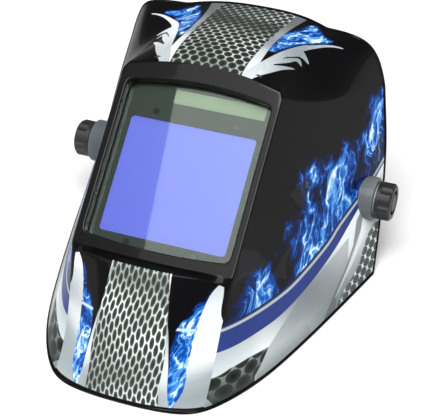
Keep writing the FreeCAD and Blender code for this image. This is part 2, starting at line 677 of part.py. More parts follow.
def rear_strap(level, side):
    """Flexible strap from the temple to the size adjuster, with rack teeth at its end."""
    offset = BAND_T + 0.1
    tube = band_tube(-BAND_T / 2 + offset, BAND_T / 2 + offset - 0.3, -60, 40)
    near, far = level + 4.2, level - 4.2
    outline = [(72, -9), (92, -9), (122, far), (140, far), (140, near), (122, near), (92, 7), (72, 7)]
    strap = tube.common(side_profile(outline, 1.5))
    keep = box(-30, 150, 40, 150, -100, 50) if side > 0 else box(-150, 30, 40, 150, -100, 50)
    strap = strap.common(keep)
    inner_edge = far if level > SIZER_Z else near
    toward = -1 if level > SIZER_Z else 1
    y0, y1 = BAND_REAR - BAND_T / 2 + offset, BAND_REAR + BAND_T / 2 + offset - 0.3
    for i in range(-7, 7):
        x = (i + 0.5) * RACK_PITCH
        z0, z1 = sorted((inner_edge - 0.1 * toward, inner_edge + 1.0 * toward))
        strap = strap.fuse(box(x - 0.55, x + 0.55, y0, y1, z0, z1))
    solids = strap.removeSplitter().Solids
    return headgear(riveted(max(solids, key=lambda solid: solid.Volume)))


def ellipse_slab(half_w, height, y):
    """Elliptical slab, 16 mm deep along Y, centred on y."""
    wide, tall = V(half_w, y, 0), V(0, y, height)
    first, second = (wide, tall) if half_w >= height else (tall, wide)
    face = Part.Face(Part.Wire([Part.Ellipse(first, second, V(0, y, 0)).toShape()]))
    face.translate(V(0, 8, 0))
    return face.extrude(V(0, -16, 0))


def crown_strap(y, side):
    """Half of a strap over the crown; the two halves overlap at the top."""
    half_w, height = crown_half(y), CROWN_H + (1.5 if side > 0 else 0)
    strap = ellipse_slab(half_w + CROWN_T, height + CROWN_T, y).cut(ellipse_slab(half_w, height, y))
    reach = 24
    span = (-reach, 120) if side > 0 else (-120, reach)
    strap = strap.common(box(*span, y - 20, y + 20, -6, 120))
    for x in (-8, 8):
        strap = strap.cut(cylinder(1.95, V(x, y, 50), V(x, y, 100)))
    return headgear(riveted(strap))


def crown_pins():
    pins = []
    top = CROWN_H - 0.4              # where the ellipse's underside has dropped to at the pins
    for y in CROWN_Y:
        for x in (-8, 8):
            pin = cylinder(1.9, V(x, y, top - 1.2), V(x, y, top + 3.6))
            pins.append(pin.fuse(cylinder(3.6, V(x, y, top + 3.2), V(x, y, top + 4.4))).removeSplitter())
    return headgear(Part.makeCompound(pins))


def sizer_plate(y0, y1, grow):
    return rounded_prism(-36 - grow, 36 + grow, SIZER_Z - 19 - grow, SIZER_Z + 19 + grow, y0, y1, 8)


def sizer_housing():
    base = sizer_plate(SIZER_Y, SIZER_Y + 5.2, 0)
    base = base.cut(box(-50, 50, SIZER_Y + 1.8, SIZER_Y + 6, SIZER_Z - 16, SIZER_Z + 16))
    for x in (-40, 30):
        base = base.cut(box(x, x + 10, SIZER_Y + 1.1, SIZER_Y + 6, SIZER_Z - 16, SIZER_Z + 16))
    axle = cylinder(2.4 + RUNNING, V(0, SIZER_Y + 0.8, SIZER_Z), V(0, SIZER_Y + 6, SIZER_Z))
    return headgear(base.cut(axle))


def sizer_cover():
    cover = sizer_plate(SIZER_Y + 5.2, SIZER_Y + 7.6, 0)
    cover = cover.makeFillet(1.0, [e for e in cover.Edges if e.CenterOfMass.y > SIZER_Y + 7.5])
    return headgear(cover.cut(cylinder(4 + RUNNING, V(0, SIZER_Y, SIZER_Z), V(0, SIZER_Y + 9, SIZER_Z))))


def sizer_pinion():
    """Pinion between the two racks, with its shaft into the knob."""
    y0, y1 = SIZER_Y + 2.0, SIZER_Y + 5.0
    pinion = cylinder(PINION_R - 1.1, V(0, y0, SIZER_Z), V(0, y1, SIZER_Z))
    for i in range(PINION_TEETH):
        tooth = box(-0.55, 0.55, y0, y1, SIZER_Z + PINION_R - 2, SIZER_Z + PINION_R + 0.6)
        tooth.rotate(V(0, 0, SIZER_Z), V(0, 1, 0), 360 * i / PINION_TEETH)
        pinion = pinion.fuse(tooth)
    shaft = cylinder(4, V(0, y1, SIZER_Z), V(0, SIZER_Y + 11, SIZER_Z))
    tip = cylinder(2.4, V(0, SIZER_Y + 1, SIZER_Z), V(0, y0, SIZER_Z))
    core = cylinder(1.3, V(0, SIZER_Y + 5, SIZER_Z), V(0, SIZER_Y + 12, SIZER_Z))
    return headgear(fused([pinion, shaft, tip]).cut(core))


def click_spring():
    """Spring ring on the cover whose two bumps click in the knob's inner teeth."""
    y0, y1 = SIZER_Y + 7.6, SIZER_Y + 9.2
    spring = ring(15.5, 14.3, V(0, y0, SIZER_Z), V(0, y1, SIZER_Z))
    for side in (-1, 1):
        x = 15.6 * side
        spring = spring.fuse(cylinder(0.9, V(x, y0, SIZER_Z), V(x, y1, SIZER_Z)))
        spring = spring.fuse(cylinder(2.0, V(0, y0, SIZER_Z + 14.9 * side), V(0, y1, SIZER_Z + 14.9 * side)))
    return headgear(spring.removeSplitter())


def sizer_knob():
    y0, y1 = SIZER_Y + 7.9, SIZER_Y + 23
    knob = cylinder(SIZER_KNOB_R, V(0, y0, SIZER_Z), V(0, y1, SIZER_Z))
    knob = knob.makeFillet(2.5, [e for e in knob.Edges if e.CenterOfMass.y > y1 - 0.1])
    grips = 12
    for i in range(grips):
        turn = 2 * math.pi * i / grips
        x, z = (SIZER_KNOB_R + 3.4) * math.cos(turn), SIZER_Z + (SIZER_KNOB_R + 3.4) * math.sin(turn)
        knob = knob.cut(cylinder(4.6, V(x, y0 + 3, z), V(x, y1 + 1, z)))
    knob = knob.cut(cylinder(17.2, V(0, y0 - 1, SIZER_Z), V(0, y0 + 1.8, SIZER_Z)))
    knob = knob.cut(cylinder(4.0, V(0, y0 - 1, SIZER_Z), V(0, SIZER_Y + 11, SIZER_Z)))
    knob = knob.cut(cylinder(3.4, V(0, y1 - 3, SIZER_Z), V(0, y1 + 1, SIZER_Z)))
    return headgear(knob.cut(cylinder(1.5, V(0, y0, SIZER_Z), V(0, y1, SIZER_Z))))


def sizer_screw():
    y1 = SIZER_Y + 20
    shank = cylinder(1.3, V(0, SIZER_Y + 6, SIZER_Z), V(0, y1 + 0.2, SIZER_Z))
    head = cylinder(3.0, V(0, y1, SIZER_Z), V(0, y1 + 1.8, SIZER_Z))
    return headgear(fused([shank, head]).cut(box(-2.2, 2.2, y1 + 1.1, y1 + 2, SIZER_Z - 0.4, SIZER_Z + 0.4)))


def sweatband():
    tube = band_tube(-BAND_T / 2 - 7.0, -BAND_T / 2 - 0.4, -30, 40)
    outline = [(-70, -10), (10, -9), (10, 13), (-70, 25)]
    return headgear(tube.common(side_profile(outline, 4)))


def rear_pad():
    pad = rounded_prism(-33, 33, SIZER_Z - 17, SIZER_Z + 17, SIZER_Y - 8.4, SIZER_Y - 0.4, 10)
    return headgear(pad)


def riveted(shape):
    """Rivet holes through a band, strap or bracket, on both sides of the head."""
    for y, z in CROWN_RIVETS + STRAP_RIVETS + BRACKET_RIVETS:
        x = band_half_at(y)
        for side in (-1, 1):
            hole = cylinder(RIVET_R + RUNNING, V(side * (x - 8), y, z), V(side * (x + 7), y, z))
            shape = shape.cut(hole)
    return shape


def rivet(y, z, x0, x1, head_in, head_out):
    """Rivet along X: shank from x0 to x1, with a head at either end or both."""
    parts = [cylinder(RIVET_R, V(x0, y, z), V(x1, y, z))]
    if head_in:
        parts.append(cylinder(3.2, V(x0 - 1, y, z), V(x0, y, z)))
    if head_out:
        parts.append(cylinder(3.2, V(x1, y, z), V(x1 + 1, y, z)))
    return both_sides(fused(parts))


def band_rivets():
    """Rivets of the crown straps, the rear straps and the arm brackets."""
    rivets = []
    for y, z in CROWN_RIVETS:
        rivets.append(rivet(y, z, crown_half(y) - 0.2, band_reach(y)[1] + 1.0, True, True))
    for y, z in STRAP_RIVETS:
        rivets.append(rivet(y, z, band_reach(y)[0] - 1.0, band_reach(y)[1] + 2.65, True, True))
    for y, z in BRACKET_RIVETS:
        rivets.append(rivet(y, z, band_reach(y)[0] - 1.0, band_half_at(y) + 6.5, True, False))
    return headgear(Part.makeCompound(rivets))


def band_reach(y):
    """Least and greatest half width of the band under one rivet head."""
    halves = [band_half_at(y - 3.2), band_half_at(y + 3.2)]
    return min(halves), max(halves)


def crown_half(y):
    """Half width inside the crown strap centred at y."""
    return min(band_half_at(y - 8), band_half_at(y + 8)) - BAND_T / 2 - CROWN_T - 0.1


def band_half_at(y):
    """Half width of the band's centre line at one station."""
    line = Part.LineSegment(V(0, y, 0), V(200, y, 0)).toShape()
    return line.distToShape(Part.Wire(band_path(0.0)))[1][0][0].x


def build():
    node("helmet_shell", helmet_shell())
    node("lens_gasket", lens_gasket())
    node("cover_lens", cover_lens())
    node("lens_holder", lens_holder())
    node("holder_screws", holder_screws())
    node("cartridge_latch_left", cartridge_latch(LATCH_X))
    node("cartridge_latch_right", cartridge_latch(-LATCH_X))
    node("filter_front_housing", filter_front_housing())
    node("filter_glass", filter_glass())
    node("solar_panel", solar_panel())
    node("light_sensors", light_sensors())
    node("circuit_board", circuit_board())
    node("battery_cells", battery_cells())
    node("filter_rear_housing", filter_rear_housing())
    node("housing_screws", housing_screws())
    node("inner_cover_lens", inner_cover_lens())
    node("battery_cap_left", battery_cap(CELL_X))
    node("battery_cap_right", battery_cap(-CELL_X))
    for (x, radius), name in zip(CONTROL_KNOBS, ("shade_knob", "sensitivity_knob", "delay_knob")):
        node(name, control_knob(x, radius))
    node("test_button", test_button())
    node("grind_switch", grind_switch())
    sided = {"tension_knob": tension_knob(), "knob_insert": knob_insert(), "pivot_arm": pivot_arm(),
             "reach_bracket": reach_bracket()}
    for name, shape in sided.items():
        node(name + "_left", shape)
        node(name + "_right", mirrored(shape))
    node("outer_washers", both_sides(outer_washer()))
    node("tilt_stop_discs", both_sides(tilt_stop_disc()))
    node("pivot_bolts", both_sides(pivot_bolt()))
    node("headband", headband())
    node("rear_strap_left", rear_strap(SIZER_Z + STRAP_LEVEL, 1))
    node("rear_strap_right", rear_strap(SIZER_Z - STRAP_LEVEL, -1))
    for y, name in zip(CROWN_Y, ("front", "rear")):
        node("crown_strap_%s_left" % name, crown_strap(y, 1))
        node("crown_strap_%s_right" % name, crown_strap(y, -1))
    node("crown_pins", crown_pins())
    node("band_rivets", band_rivets())
    node("sweatband", sweatband())
    node("rear_pad", rear_pad())
    node("sizer_housing", sizer_housing())
    node("sizer_cover", sizer_cover())
    node("sizer_pinion", sizer_pinion())
    node("click_spring", click_spring())
    node("sizer_knob", sizer_knob())
    node("sizer_screw", sizer_screw())


build()
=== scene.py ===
import json
import math

import bmesh
import bpy
import numpy as np
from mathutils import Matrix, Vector

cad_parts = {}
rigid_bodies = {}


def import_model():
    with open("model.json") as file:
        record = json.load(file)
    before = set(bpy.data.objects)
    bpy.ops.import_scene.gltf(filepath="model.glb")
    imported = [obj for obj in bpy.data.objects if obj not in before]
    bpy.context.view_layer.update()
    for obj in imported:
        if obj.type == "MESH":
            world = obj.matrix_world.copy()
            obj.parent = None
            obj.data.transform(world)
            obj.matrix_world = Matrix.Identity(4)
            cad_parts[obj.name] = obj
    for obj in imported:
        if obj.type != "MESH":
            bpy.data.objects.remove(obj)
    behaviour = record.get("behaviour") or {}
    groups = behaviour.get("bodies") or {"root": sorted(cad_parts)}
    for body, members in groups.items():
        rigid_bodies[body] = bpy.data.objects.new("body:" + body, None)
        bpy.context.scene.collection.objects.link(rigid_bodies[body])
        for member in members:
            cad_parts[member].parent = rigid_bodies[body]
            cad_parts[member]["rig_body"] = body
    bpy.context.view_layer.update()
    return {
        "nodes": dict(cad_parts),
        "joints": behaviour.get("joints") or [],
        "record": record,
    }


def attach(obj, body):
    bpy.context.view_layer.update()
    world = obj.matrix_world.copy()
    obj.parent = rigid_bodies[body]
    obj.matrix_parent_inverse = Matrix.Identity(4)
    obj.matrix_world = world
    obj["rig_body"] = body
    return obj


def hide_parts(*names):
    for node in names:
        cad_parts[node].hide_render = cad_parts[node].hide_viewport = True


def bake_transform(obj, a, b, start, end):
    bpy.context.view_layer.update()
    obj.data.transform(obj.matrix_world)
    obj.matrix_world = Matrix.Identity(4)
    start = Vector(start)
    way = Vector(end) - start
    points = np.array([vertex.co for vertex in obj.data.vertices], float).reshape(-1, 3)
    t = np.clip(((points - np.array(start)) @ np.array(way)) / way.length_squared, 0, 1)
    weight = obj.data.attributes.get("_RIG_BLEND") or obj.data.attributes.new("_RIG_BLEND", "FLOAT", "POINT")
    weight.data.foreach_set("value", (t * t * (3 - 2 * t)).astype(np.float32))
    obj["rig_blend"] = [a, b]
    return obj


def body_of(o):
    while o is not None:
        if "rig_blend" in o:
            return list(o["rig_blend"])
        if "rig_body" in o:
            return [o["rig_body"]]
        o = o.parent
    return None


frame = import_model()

NODES = frame["nodes"]
JOINTS = {joint["name"]: joint for joint in frame["joints"]}

# All sizes below are in millimetres. +X is the wearer's left, -Y is where the lens faces, +Z is up.
# Numbers are written with the lens centre at Y = LENS_Y, and place() moves them to the row frame.
MM = 0.001
PIVOT_BACK = 78.0                # the pivots' Y in these numbers
ROW_SHIFT = JOINTS["headgear_tilt"]["pos_m"][1] / MM - PIVOT_BACK

LEAN = math.radians(48.2)        # how far the lens leans back
LENS_Y, LENS_Z = -35.0, 113.0    # centre of the viewing area
WALL = 2.8                       # shell wall
FACE_Y = -11.0                   # the flat face, measured in from the lens plane
FACE_HALF, FACE_LOW, FACE_HIGH = 60.5, -58.5, 74.0
ARCH_SIDE, ARCH_MID = 78.5, 88.0
OPEN_HALF, OPEN_LOW, OPEN_HIGH = 55.0, -48.5, 66.5
OPEN_BOW_LOW, OPEN_BOW_HIGH, OPEN_RADIUS = 3.5, 6.0, 5.5
COLLAR_WALL, COLLAR_BACK = 2.2, -3.2
SEAT_R, SEAT_HOLE, SEAT_DEPTH = 17.0, 4.1, 18.5    # round seat under each tension knob
SEAT_OUT, SEAT_Y, SEAT_Z = 118.0, 78.0, 55.0
BOSS_R, BOSS_HOLE, BOSS_BACK, BOSS_AHEAD = 3.4, 1.5, -8.0, 8.9      # screw bosses of the lens holder
BOSS_X, BOSS_LOW, BOSS_HIGH = 38.0, -61.5, 85.0


def place(points):
    """Millimetre points, as an array with x, y, z last, to metres in the row frame."""
    moved = np.array(points, float)
    moved[..., 1] += ROW_SHIFT
    return moved * MM


def window_point(x, depth, height):
    """A point drawn as (x, depth behind the lens plane, height up the lens)."""
    y = LENS_Y + math.cos(LEAN) * depth + math.sin(LEAN) * height
    z = LENS_Z - math.sin(LEAN) * depth + math.cos(LEAN) * height
    return np.array([x, y, z], float)


# ---- the shell's control points, the same surfaces as the frame's helmet_shell ----
def P(*rows):
    return [np.array(row, float) for row in rows]


def flip(points):
    return [p * np.array([-1, 1, 1]) for p in points]


def across(half):
    return flip(half[:0:-1]) + half


def between(a, b, steps):
    return [a + (b - a) * (i / steps) for i in range(1, steps)]


def split_rows(rows, t):
    """Split four-row nets at t into a lower and an upper net."""
    a, b, c, d = [np.array(row) for row in rows]
    ab, bc, cd = a + (b - a) * t, b + (c - b) * t, c + (d - c) * t
    abc, bcd = ab + (bc - ab) * t, bc + (cd - bc) * t
    middle = abc + (bcd - abc) * t
    return [a, ab, abc, middle], [middle, bcd, cd, d]


def side_nets():
    low_corner = window_point(FACE_HALF, FACE_Y, FACE_LOW)
    high_corner = window_point(FACE_HALF, FACE_Y, FACE_HIGH)
    arch_corner = window_point(FACE_HALF - 2.5, FACE_Y, ARCH_SIDE)
    front = between(low_corner, high_corner, 3)
    rim = P((57, -134, 0), (64.5, -127.5, 0), (83, -97, 0), (98, -50, 0), (113, 6, 0), (125.5, 57, 0))
    flare = P((56, -112, 10), (64, -107, 18), (80.5, -79, 23), (95.5, -28, 22.5), (110, 26, 24),
              (123, 76, 22))
    cheek = P((57, -100, 48), (67, -90, 50), (80, -54, 47), (95, -3, 45), (108.5, 50, 47), (119.5, 96, 47))
    upper = [front[0]] + P((66, -42.5, 103), (79, -2, 96), (92.5, 40, 90), (104, 80, 88), (113.5, 117, 90))
    waist = [low_corner] + [(a + b) * 0.5 for a, b in zip(cheek[1:], upper[1:])]
    under = [front[1]] + P((67.5, -3, 134.5), (80, 30, 123), (91.5, 64, 113.5), (102, 94, 108),
                           (110.5, 120, 105))
    crease = [high_corner] + P((66.5, 26, 162.5), (77.5, 51.5, 149.5), (87.5, 77.5, 140), (97, 103.5, 132),
                               (106, 129, 125.5))
    ridge = [arch_corner] + P((56.5, 36, 170.5), (54, 60, 169), (52.5, 85, 167.5), (53.5, 108, 166),
                              (57, 131, 165))
    scoop = [
        between(high_corner, arch_corner, 6),
        between(crease[1], ridge[1], 6),
        P((73.8, 52, 152.5), (70, 53, 155.8), (66, 54.5, 159), (62, 56.3, 162.3), (58, 58, 165.7)),
        P((84.5, 78, 146), (79.5, 77.5, 152), (73.5, 78, 157), (66.3, 80, 161), (58.9, 82.4, 164.5)),
        P((95, 106.5, 141.5), (91, 105.5, 153), (84.5, 102.5, 162.5), (75, 104, 166.5), (64, 106, 167)),
        P((103, 130.5, 137.5), (98.5, 130, 150.5), (92, 125.5, 162), (82.5, 123, 167.5), (70.5, 127, 167)),
    ]
    temple = [crease] + [list(row) for row in zip(*scoop)] + [ridge]
    return [rim, flare, cheek, waist], [waist, upper, under, crease], temple


def chin_nets(cheek_low, cheek_high):
    side = [row[0] for row in cheek_low]
    sill_side = [row[0] for row in cheek_high]
    rim = P((0, -145.6, 0), (28, -145.4, 0), (49, -141.5, 0)) + [side[0]]
    bulge = P((0, -149.5, 14), (26, -147, 14), (46, -129, 12)) + [side[1]]
    throat = P((0, -127.5, 58), (25, -124, 55), (46, -107, 48)) + [side[2]]
    prow = [window_point(0, -28, -67), window_point(24, -26, -66.5), window_point(46, -14.5, -62.5), side[3]]
    low_corner = window_point(FACE_HALF, FACE_Y, FACE_LOW)
    face = [window_point(x, FACE_Y, FACE_LOW - 1.5 * (x < 40)) for x in (0, 24, 46)] + [low_corner]
    sill_rows = [[a + (b - a) * (i / 3) for a, b in zip(prow[:3], face[:3])] + [sill_side[i]] for i in (1, 2)]
    return [across(row) for row in (rim, bulge, throat, prow)], [across(row) for row in [prow] + sill_rows + [face]]


def forehead_net(ridge):
    rows = [
        [window_point(0, FACE_Y, ARCH_MID), window_point(32, FACE_Y, ARCH_MID - 3), ridge[0]],
        P((0, 29, 185.5), (34, 31, 182)) + [ridge[1]],
        P((0, 60, 184), (34, 60, 180)) + [ridge[2]],
        P((0, 89, 179.5), (34, 88, 176.5)) + [ridge[3]],
        P((0, 120, 172.5), (34, 117, 170.5)) + [ridge[4]],
        P((0, 146, 165.5), (36, 144, 165.5)) + [ridge[5]],
    ]
    return [across(row) for row in rows]


def spline_weights(count, samples):
    """Weights of a clamped cubic spline's control points at samples from 0 to 1."""
    knots = np.array([0.0] * 4 + list(range(1, count - 3)) + [count - 3.0] * 4)
    t = np.clip(np.asarray(samples) * (count - 3), 0, count - 3 - 1e-9)
    weights = [((knots[i] <= t) & (t < knots[i + 1])).astype(float) for i in range(len(knots) - 1)]
    for degree in (1, 2, 3):
        for i in range(len(knots) - 1 - degree):
            left, right = knots[i + degree] - knots[i], knots[i + degree + 1] - knots[i + 1]
            a = (t - knots[i]) / left * weights[i] if left else 0.0
            b = (knots[i + degree + 1] - t) / right * weights[i + 1] if right else 0.0
            weights[i] = a + b
    return np.array(weights[:count]).T


def surface(net, u, v):
    return np.einsum("ir,rcx,jc->ijx", spline_weights(len(net), v), np.array(net), spline_weights(len(net[0]), u))


def graded(steps, fine_low=0, fine_high=0, fine=0.35):
    """steps samples from 0 to 1, closer together over the first or last few steps."""
    sizes = np.ones(steps)
    if fine_low:
        sizes[:fine_low] = fine
    if fine_high:
        sizes[-fine_high:] = fine
    return np.concatenate([[0.0], np.cumsum(sizes) / sizes.sum()])


# ---- outlines of the printed graphics, for the right half and mirrored ----
def smooth_line(points, steps=8, closed=False):
    """Catmull-Rom curve through a few points."""
    p = np.array(points, float)
    n = len(p)
    spans = n if closed else n - 1
    out = []
    for k in range(spans):
        if closed:
            a, b, c, d = p[(k - 1) % n], p[k], p[(k + 1) % n], p[(k + 2) % n]
        else:
            a, b, c, d = p[max(k - 1, 0)], p[k], p[k + 1], p[min(k + 2, n - 1)]
        for t in np.arange(steps) / steps:
            out.append(0.5 * (2 * b + (c - a) * t + (2 * a - 5 * b + 4 * c - d) * t * t
                              + (3 * b - a - 3 * c + d) * t ** 3))
    if not closed:
        out.append(p[-1])
    return np.array(out)


def inside(s, t, outline):
    """Signed distance to a closed outline, positive inside."""
    shape = s.shape
    q = np.stack([s.ravel(), t.ravel()], 1)
    best = np.full(len(q), 1e9)
    crossings = np.zeros(len(q), bool)
    n = len(outline)
    for k in range(n):
        a, b = outline[k], outline[(k + 1) % n]
        ab, ap = b - a, q - a
        along = np.clip((ap @ ab) / max(ab @ ab, 1e-9), 0, 1)
        best = np.minimum(best, ((ap - along[:, None] * ab) ** 2).sum(1))
        straddle = (a[1] > q[:, 1]) != (b[1] > q[:, 1])
        if ab[1]:
            x_at = a[0] + (q[:, 1] - a[1]) / ab[1] * ab[0]
            crossings ^= straddle & (q[:, 0] < x_at)
    distance = np.sqrt(best)
    return np.where(crossings, distance, -distance).reshape(shape)


def above(s, t, line):
    """Signed distance above an open line t(s), positive above."""
    level = np.interp(s, line[:, 0], line[:, 1])
    slope = np.interp(s, line[:-1, 0], np.diff(line[:, 1]) / np.diff(line[:, 0]))
    return (t - level) / np.sqrt(1 + slope ** 2)


SILVER_LINE = smooth_line([(-125, 46), (-101, 46), (-51, 43), (-25, 43.5), (15, 49), (36, 55), (76, 63.5), (105, 73),
                           (123, 81)])
BAND_EDGE = smooth_line([(-125, 31), (-109, 32), (-81, 32), (-50, 31.5), (-12, 35.5), (21, 42.5), (50, 52), (88, 65),
                         (121, 78)])
FLAME_SIDE = smooth_line([(-112, 40), (-99, 54), (-89, 61), (-77, 67), (-62, 83), (-51, 71), (-40, 52), (-31, 53),
                          (-33, 73), (-25, 83), (-16, 91), (-2, 90), (1, 98), (1, 109), (12, 118), (26, 118),
                          (40, 108), (55, 106), (65, 114), (84, 107), (96, 115), (107, 130), (122, 130), (140, 106),
                          (130, 50), (50, 42), (-56, 26)], 5, True)
# Painted reflections on the side: dark grey shapes over the flames, not part of the print.
REFLECTION_SHAPES = [[(-82, 78), (-69, 97), (-56, 87), (-47, 71)], [(-47, 61), (-36, 51), (-30, 63), (-20, 72), (-34, 68)],
               [(-8, 105), (0, 89), (20, 101), (14, 107)], [(90, 83), (112, 96), (118, 80), (99, 70), (81, 69)]]
HEX_FRONT = [(-128, -4), (-124, 14), (-105, 19), (-90, 19.5), (-72, 17.5), (-82, 11), (-92, 5.5), (-99, -4)]
HEX_REAR = [(2, -4), (6, 5), (19, 10), (32, 13), (44, 17), (52, 24), (64, 32), (80, 36), (86, -4)]
PANEL_SHADE = [(-96, -4), (-90, 7.5), (-72, 17.5), (-53, 24.5), (-30, 31.5), (-10, 35.5), (18, 39), (41, 42), (14, -4)]
PANEL_SLASH = [(-16, 1.5), (6, 13.5), (27, 23), (43, 33.5), (55, 48.5), (71, 55.5), (56, 38.5), (30, 19), (9, 11),
               (0, 0)]
PANEL_LIGHT = [(6, 10), (30, 22.5), (48, 33.5), (70, 47), (60, 34), (34, 21)]
CHIN_HEX = smooth_line([(0, 28), (18, 26.5), (30, 27.2), (42, 26.6), (50, 25.6), (60, 24.6), (70, 23.6), (80, 22),
                        (87, 21), (100, 21)])
CHIN_BORDER = smooth_line([(0, 35.5), (8, 33.6), (16, 32), (31, 30.2), (50, 27), (57, 25.3), (66, 24), (72, 23.2),
                           (100, 21)])
BLADE = np.concatenate([
    smooth_line([(55.5, 81), (56.2, 72), (56.4, 58), (62, 46), (63, 30), (63, 16), (63, 3), (63, -4)]),
    smooth_line([(33, -4), (39, 7), (42, 14), (42.2, 26), (42.2, 36), (43.2, 49), (44.5, 60), (48, 72), (53, 79)])])
CHIN_BLUE_LOW = [(34, -4), (32.5, 12), (31, 28), (30, 42), (31, 50), (46, 50), (44, 20), (40, -4)]
CHIN_BLUE_HIGH = smooth_line([(31, 51), (36.5, 61), (42, 69), (49, 77), (52, 74), (45, 58), (43.5, 51)], 5, True)
BAND_OUT = smooth_line([(-60, 34.5), (20, 34.5), (42, 34), (70, 33), (95, 33.8), (111, 35.2), (127, 37.5), (150, 42)])
STRIPE = np.concatenate([
    smooth_line([(26.3, 14), (29.5, 27), (34.5, 42), (41.5, 70), (50, 93), (58, 100), (67, 104), (78, 105.5)]),
    smooth_line([(78, 104.5), (69, 102), (61, 97), (53, 87), (46, 66), (43, 50), (41, 38),
                 (38, 26), (34.5, 18), (31, 12)])])
FEATHERS = [
    smooth_line([(30, 15), (36, 21), (44, 34), (50, 47), (56, 57.5), (49, 52), (42, 44), (37, 33), (32, 22)], 6, True),
    smooth_line([(40, 44), (45.5, 52), (50, 60.5), (53, 67.5), (57.5, 66), (54, 73), (50, 69), (45, 60), (41, 50)],
                6, True),
    smooth_line([(45, 64), (49, 70), (53.5, 76), (60.5, 74), (55.5, 82), (51.5, 85), (47.5, 78), (44.5, 69)], 6, True)]
CROWN_BLUE = smooth_line([(33, 68), (34, 88), (36, 101), (44, 121), (49, 129), (58, 114), (67, 108), (51, 98),
                          (43, 78), (37, 62)], 6, True)
CROWN_STREAK = smooth_line([(98, 91), (101, 94), (110, 102.5), (103, 93)], 6, True)


def widest(s, t, outlines):
    return np.max([inside(s, t, np.array(outline, float)) for outline in outlines], axis=0)


def graphics(zone, grid):
    """Named distances to the printed outlines and to the painted reflections, in millimetres, for one patch of the
    shell.
    """
    x, y, z = np.abs(grid[..., 0]), grid[..., 1], grid[..., 2]
    if zone == "side":
        return {"g_line": above(y, z, SILVER_LINE), "g_band": above(y, z, BAND_EDGE),
                "g_flame": inside(y, z, FLAME_SIDE), "g_dark": widest(y, z, REFLECTION_SHAPES),
                "g_hex": widest(y, z, [HEX_FRONT, HEX_REAR]), "g_shade": widest(y, z, [PANEL_SHADE]),
                "g_slash": widest(y, z, [PANEL_SLASH]), "g_light": widest(y, z, [PANEL_LIGHT])}
    if zone == "chin":
        return {"g_hex": -above(z, x, CHIN_HEX), "g_band": -above(z, x, CHIN_BORDER),
                "g_line": inside(x, z, BLADE), "g_run": run_length(grid, 0),
                "g_flame": widest(x, z, [CHIN_BLUE_LOW, CHIN_BLUE_HIGH])}
    if zone == "crown":
        return {"g_hex": 27.3 + 0.02 * (y - 20) - x, "g_band": -above(y, x, BAND_OUT),
                "g_line": np.maximum(inside(x, y, STRIPE), widest(x, y, FEATHERS)),
                "g_flame": widest(x, y, [CROWN_BLUE, CROWN_STREAK])}
    return {}


# ---- the shell as one closed mesh ----
ZONES = ["side", "chin", "crown", "face", "rim", "inner"]
LAYERS = ["g_line", "g_band", "g_flame", "g_dark", "g_hex", "g_shade", "g_slash", "g_light", "g_run", "g_rim"]
BEAD_WIDTH, BEAD_HEIGHT, BEAD_FADE, BEAD_ROLL = 2.7, 0.75, 0.5, 0.8
COARSE = 3                       # the inner skin keeps every third row and column
UNPRINTED = -50.0                # a layer's value where nothing of it is near
WELD_SHIFT = 0.00137             # keeps round numbers off the edges of the rounding that welds points


def run_length(grid, axis, from_end=False):
    """Arc length along one axis of a grid, from its start or from its end."""
    steps = np.linalg.norm(np.diff(grid, axis=axis), axis=-1)
    length = np.cumsum(steps, axis=axis)
    length = np.insert(length, 0, 0.0, axis=axis)
    return np.take(length, [-1], axis=axis) - length if from_end else length


def opening_loop(counts):
    """Outline of the window opening in (x, height up the lens), with its outward normals."""
    reach = OPEN_RADIUS * 0.92
    x_in = OPEN_HALF - reach

    def corner(sign, low):
        height, bow = (OPEN_LOW, -OPEN_BOW_LOW) if low else (OPEN_HIGH, OPEN_BOW_HIGH)
        start = np.array([sign * x_in, height + bow * (1 - (x_in / OPEN_HALF) ** 2)])
        point = np.array([sign * OPEN_HALF, height])
        end = np.array([sign * OPEN_HALF, height + (reach if low else -reach)])
        t = np.linspace(0, 1, 17)[:, None]
        return start * (1 - t) ** 2 + 2 * point * t * (1 - t) + end * t ** 2
    x = np.linspace(-x_in, x_in, 60)
    bottom = np.stack([x, OPEN_LOW - OPEN_BOW_LOW * (1 - (x / OPEN_HALF) ** 2)], 1)
    top = np.stack([-x, OPEN_HIGH + OPEN_BOW_HIGH * (1 - (x / OPEN_HALF) ** 2)], 1)
    right_low, right_high = corner(1, True), corner(1, False)[::-1]
    left_high, left_low = corner(-1, False), corner(-1, True)[::-1]
    half = 8
    sides = [
        np.concatenate([left_low[half:], bottom[1:-1], right_low[:half + 1]]),
        np.concatenate([right_low[half:], right_high[:half + 1]]),
        np.concatenate([right_high[half:], top[1:-1], left_high[:half + 1]]),
        np.concatenate([left_high[half:], left_low[:half + 1]]),
    ]
    loop = []
    for points, count in zip(sides, counts):
        run = np.concatenate([[0], np.cumsum(np.linalg.norm(np.diff(points, axis=0), axis=1))])
        at = np.linspace(0, run[-1], count + 1)[:-1]
        loop.append(np.stack([np.interp(at, run, points[:, k]) for k in (0, 1)], 1))
    loop = np.concatenate(loop)
    tangent = np.roll(loop, -1, 0) - np.roll(loop, 1, 0)
    tangent /= np.linalg.norm(tangent, axis=1)[:, None]
    return loop, np.stack([tangent[:, 1], -tangent[:, 0]], 1)


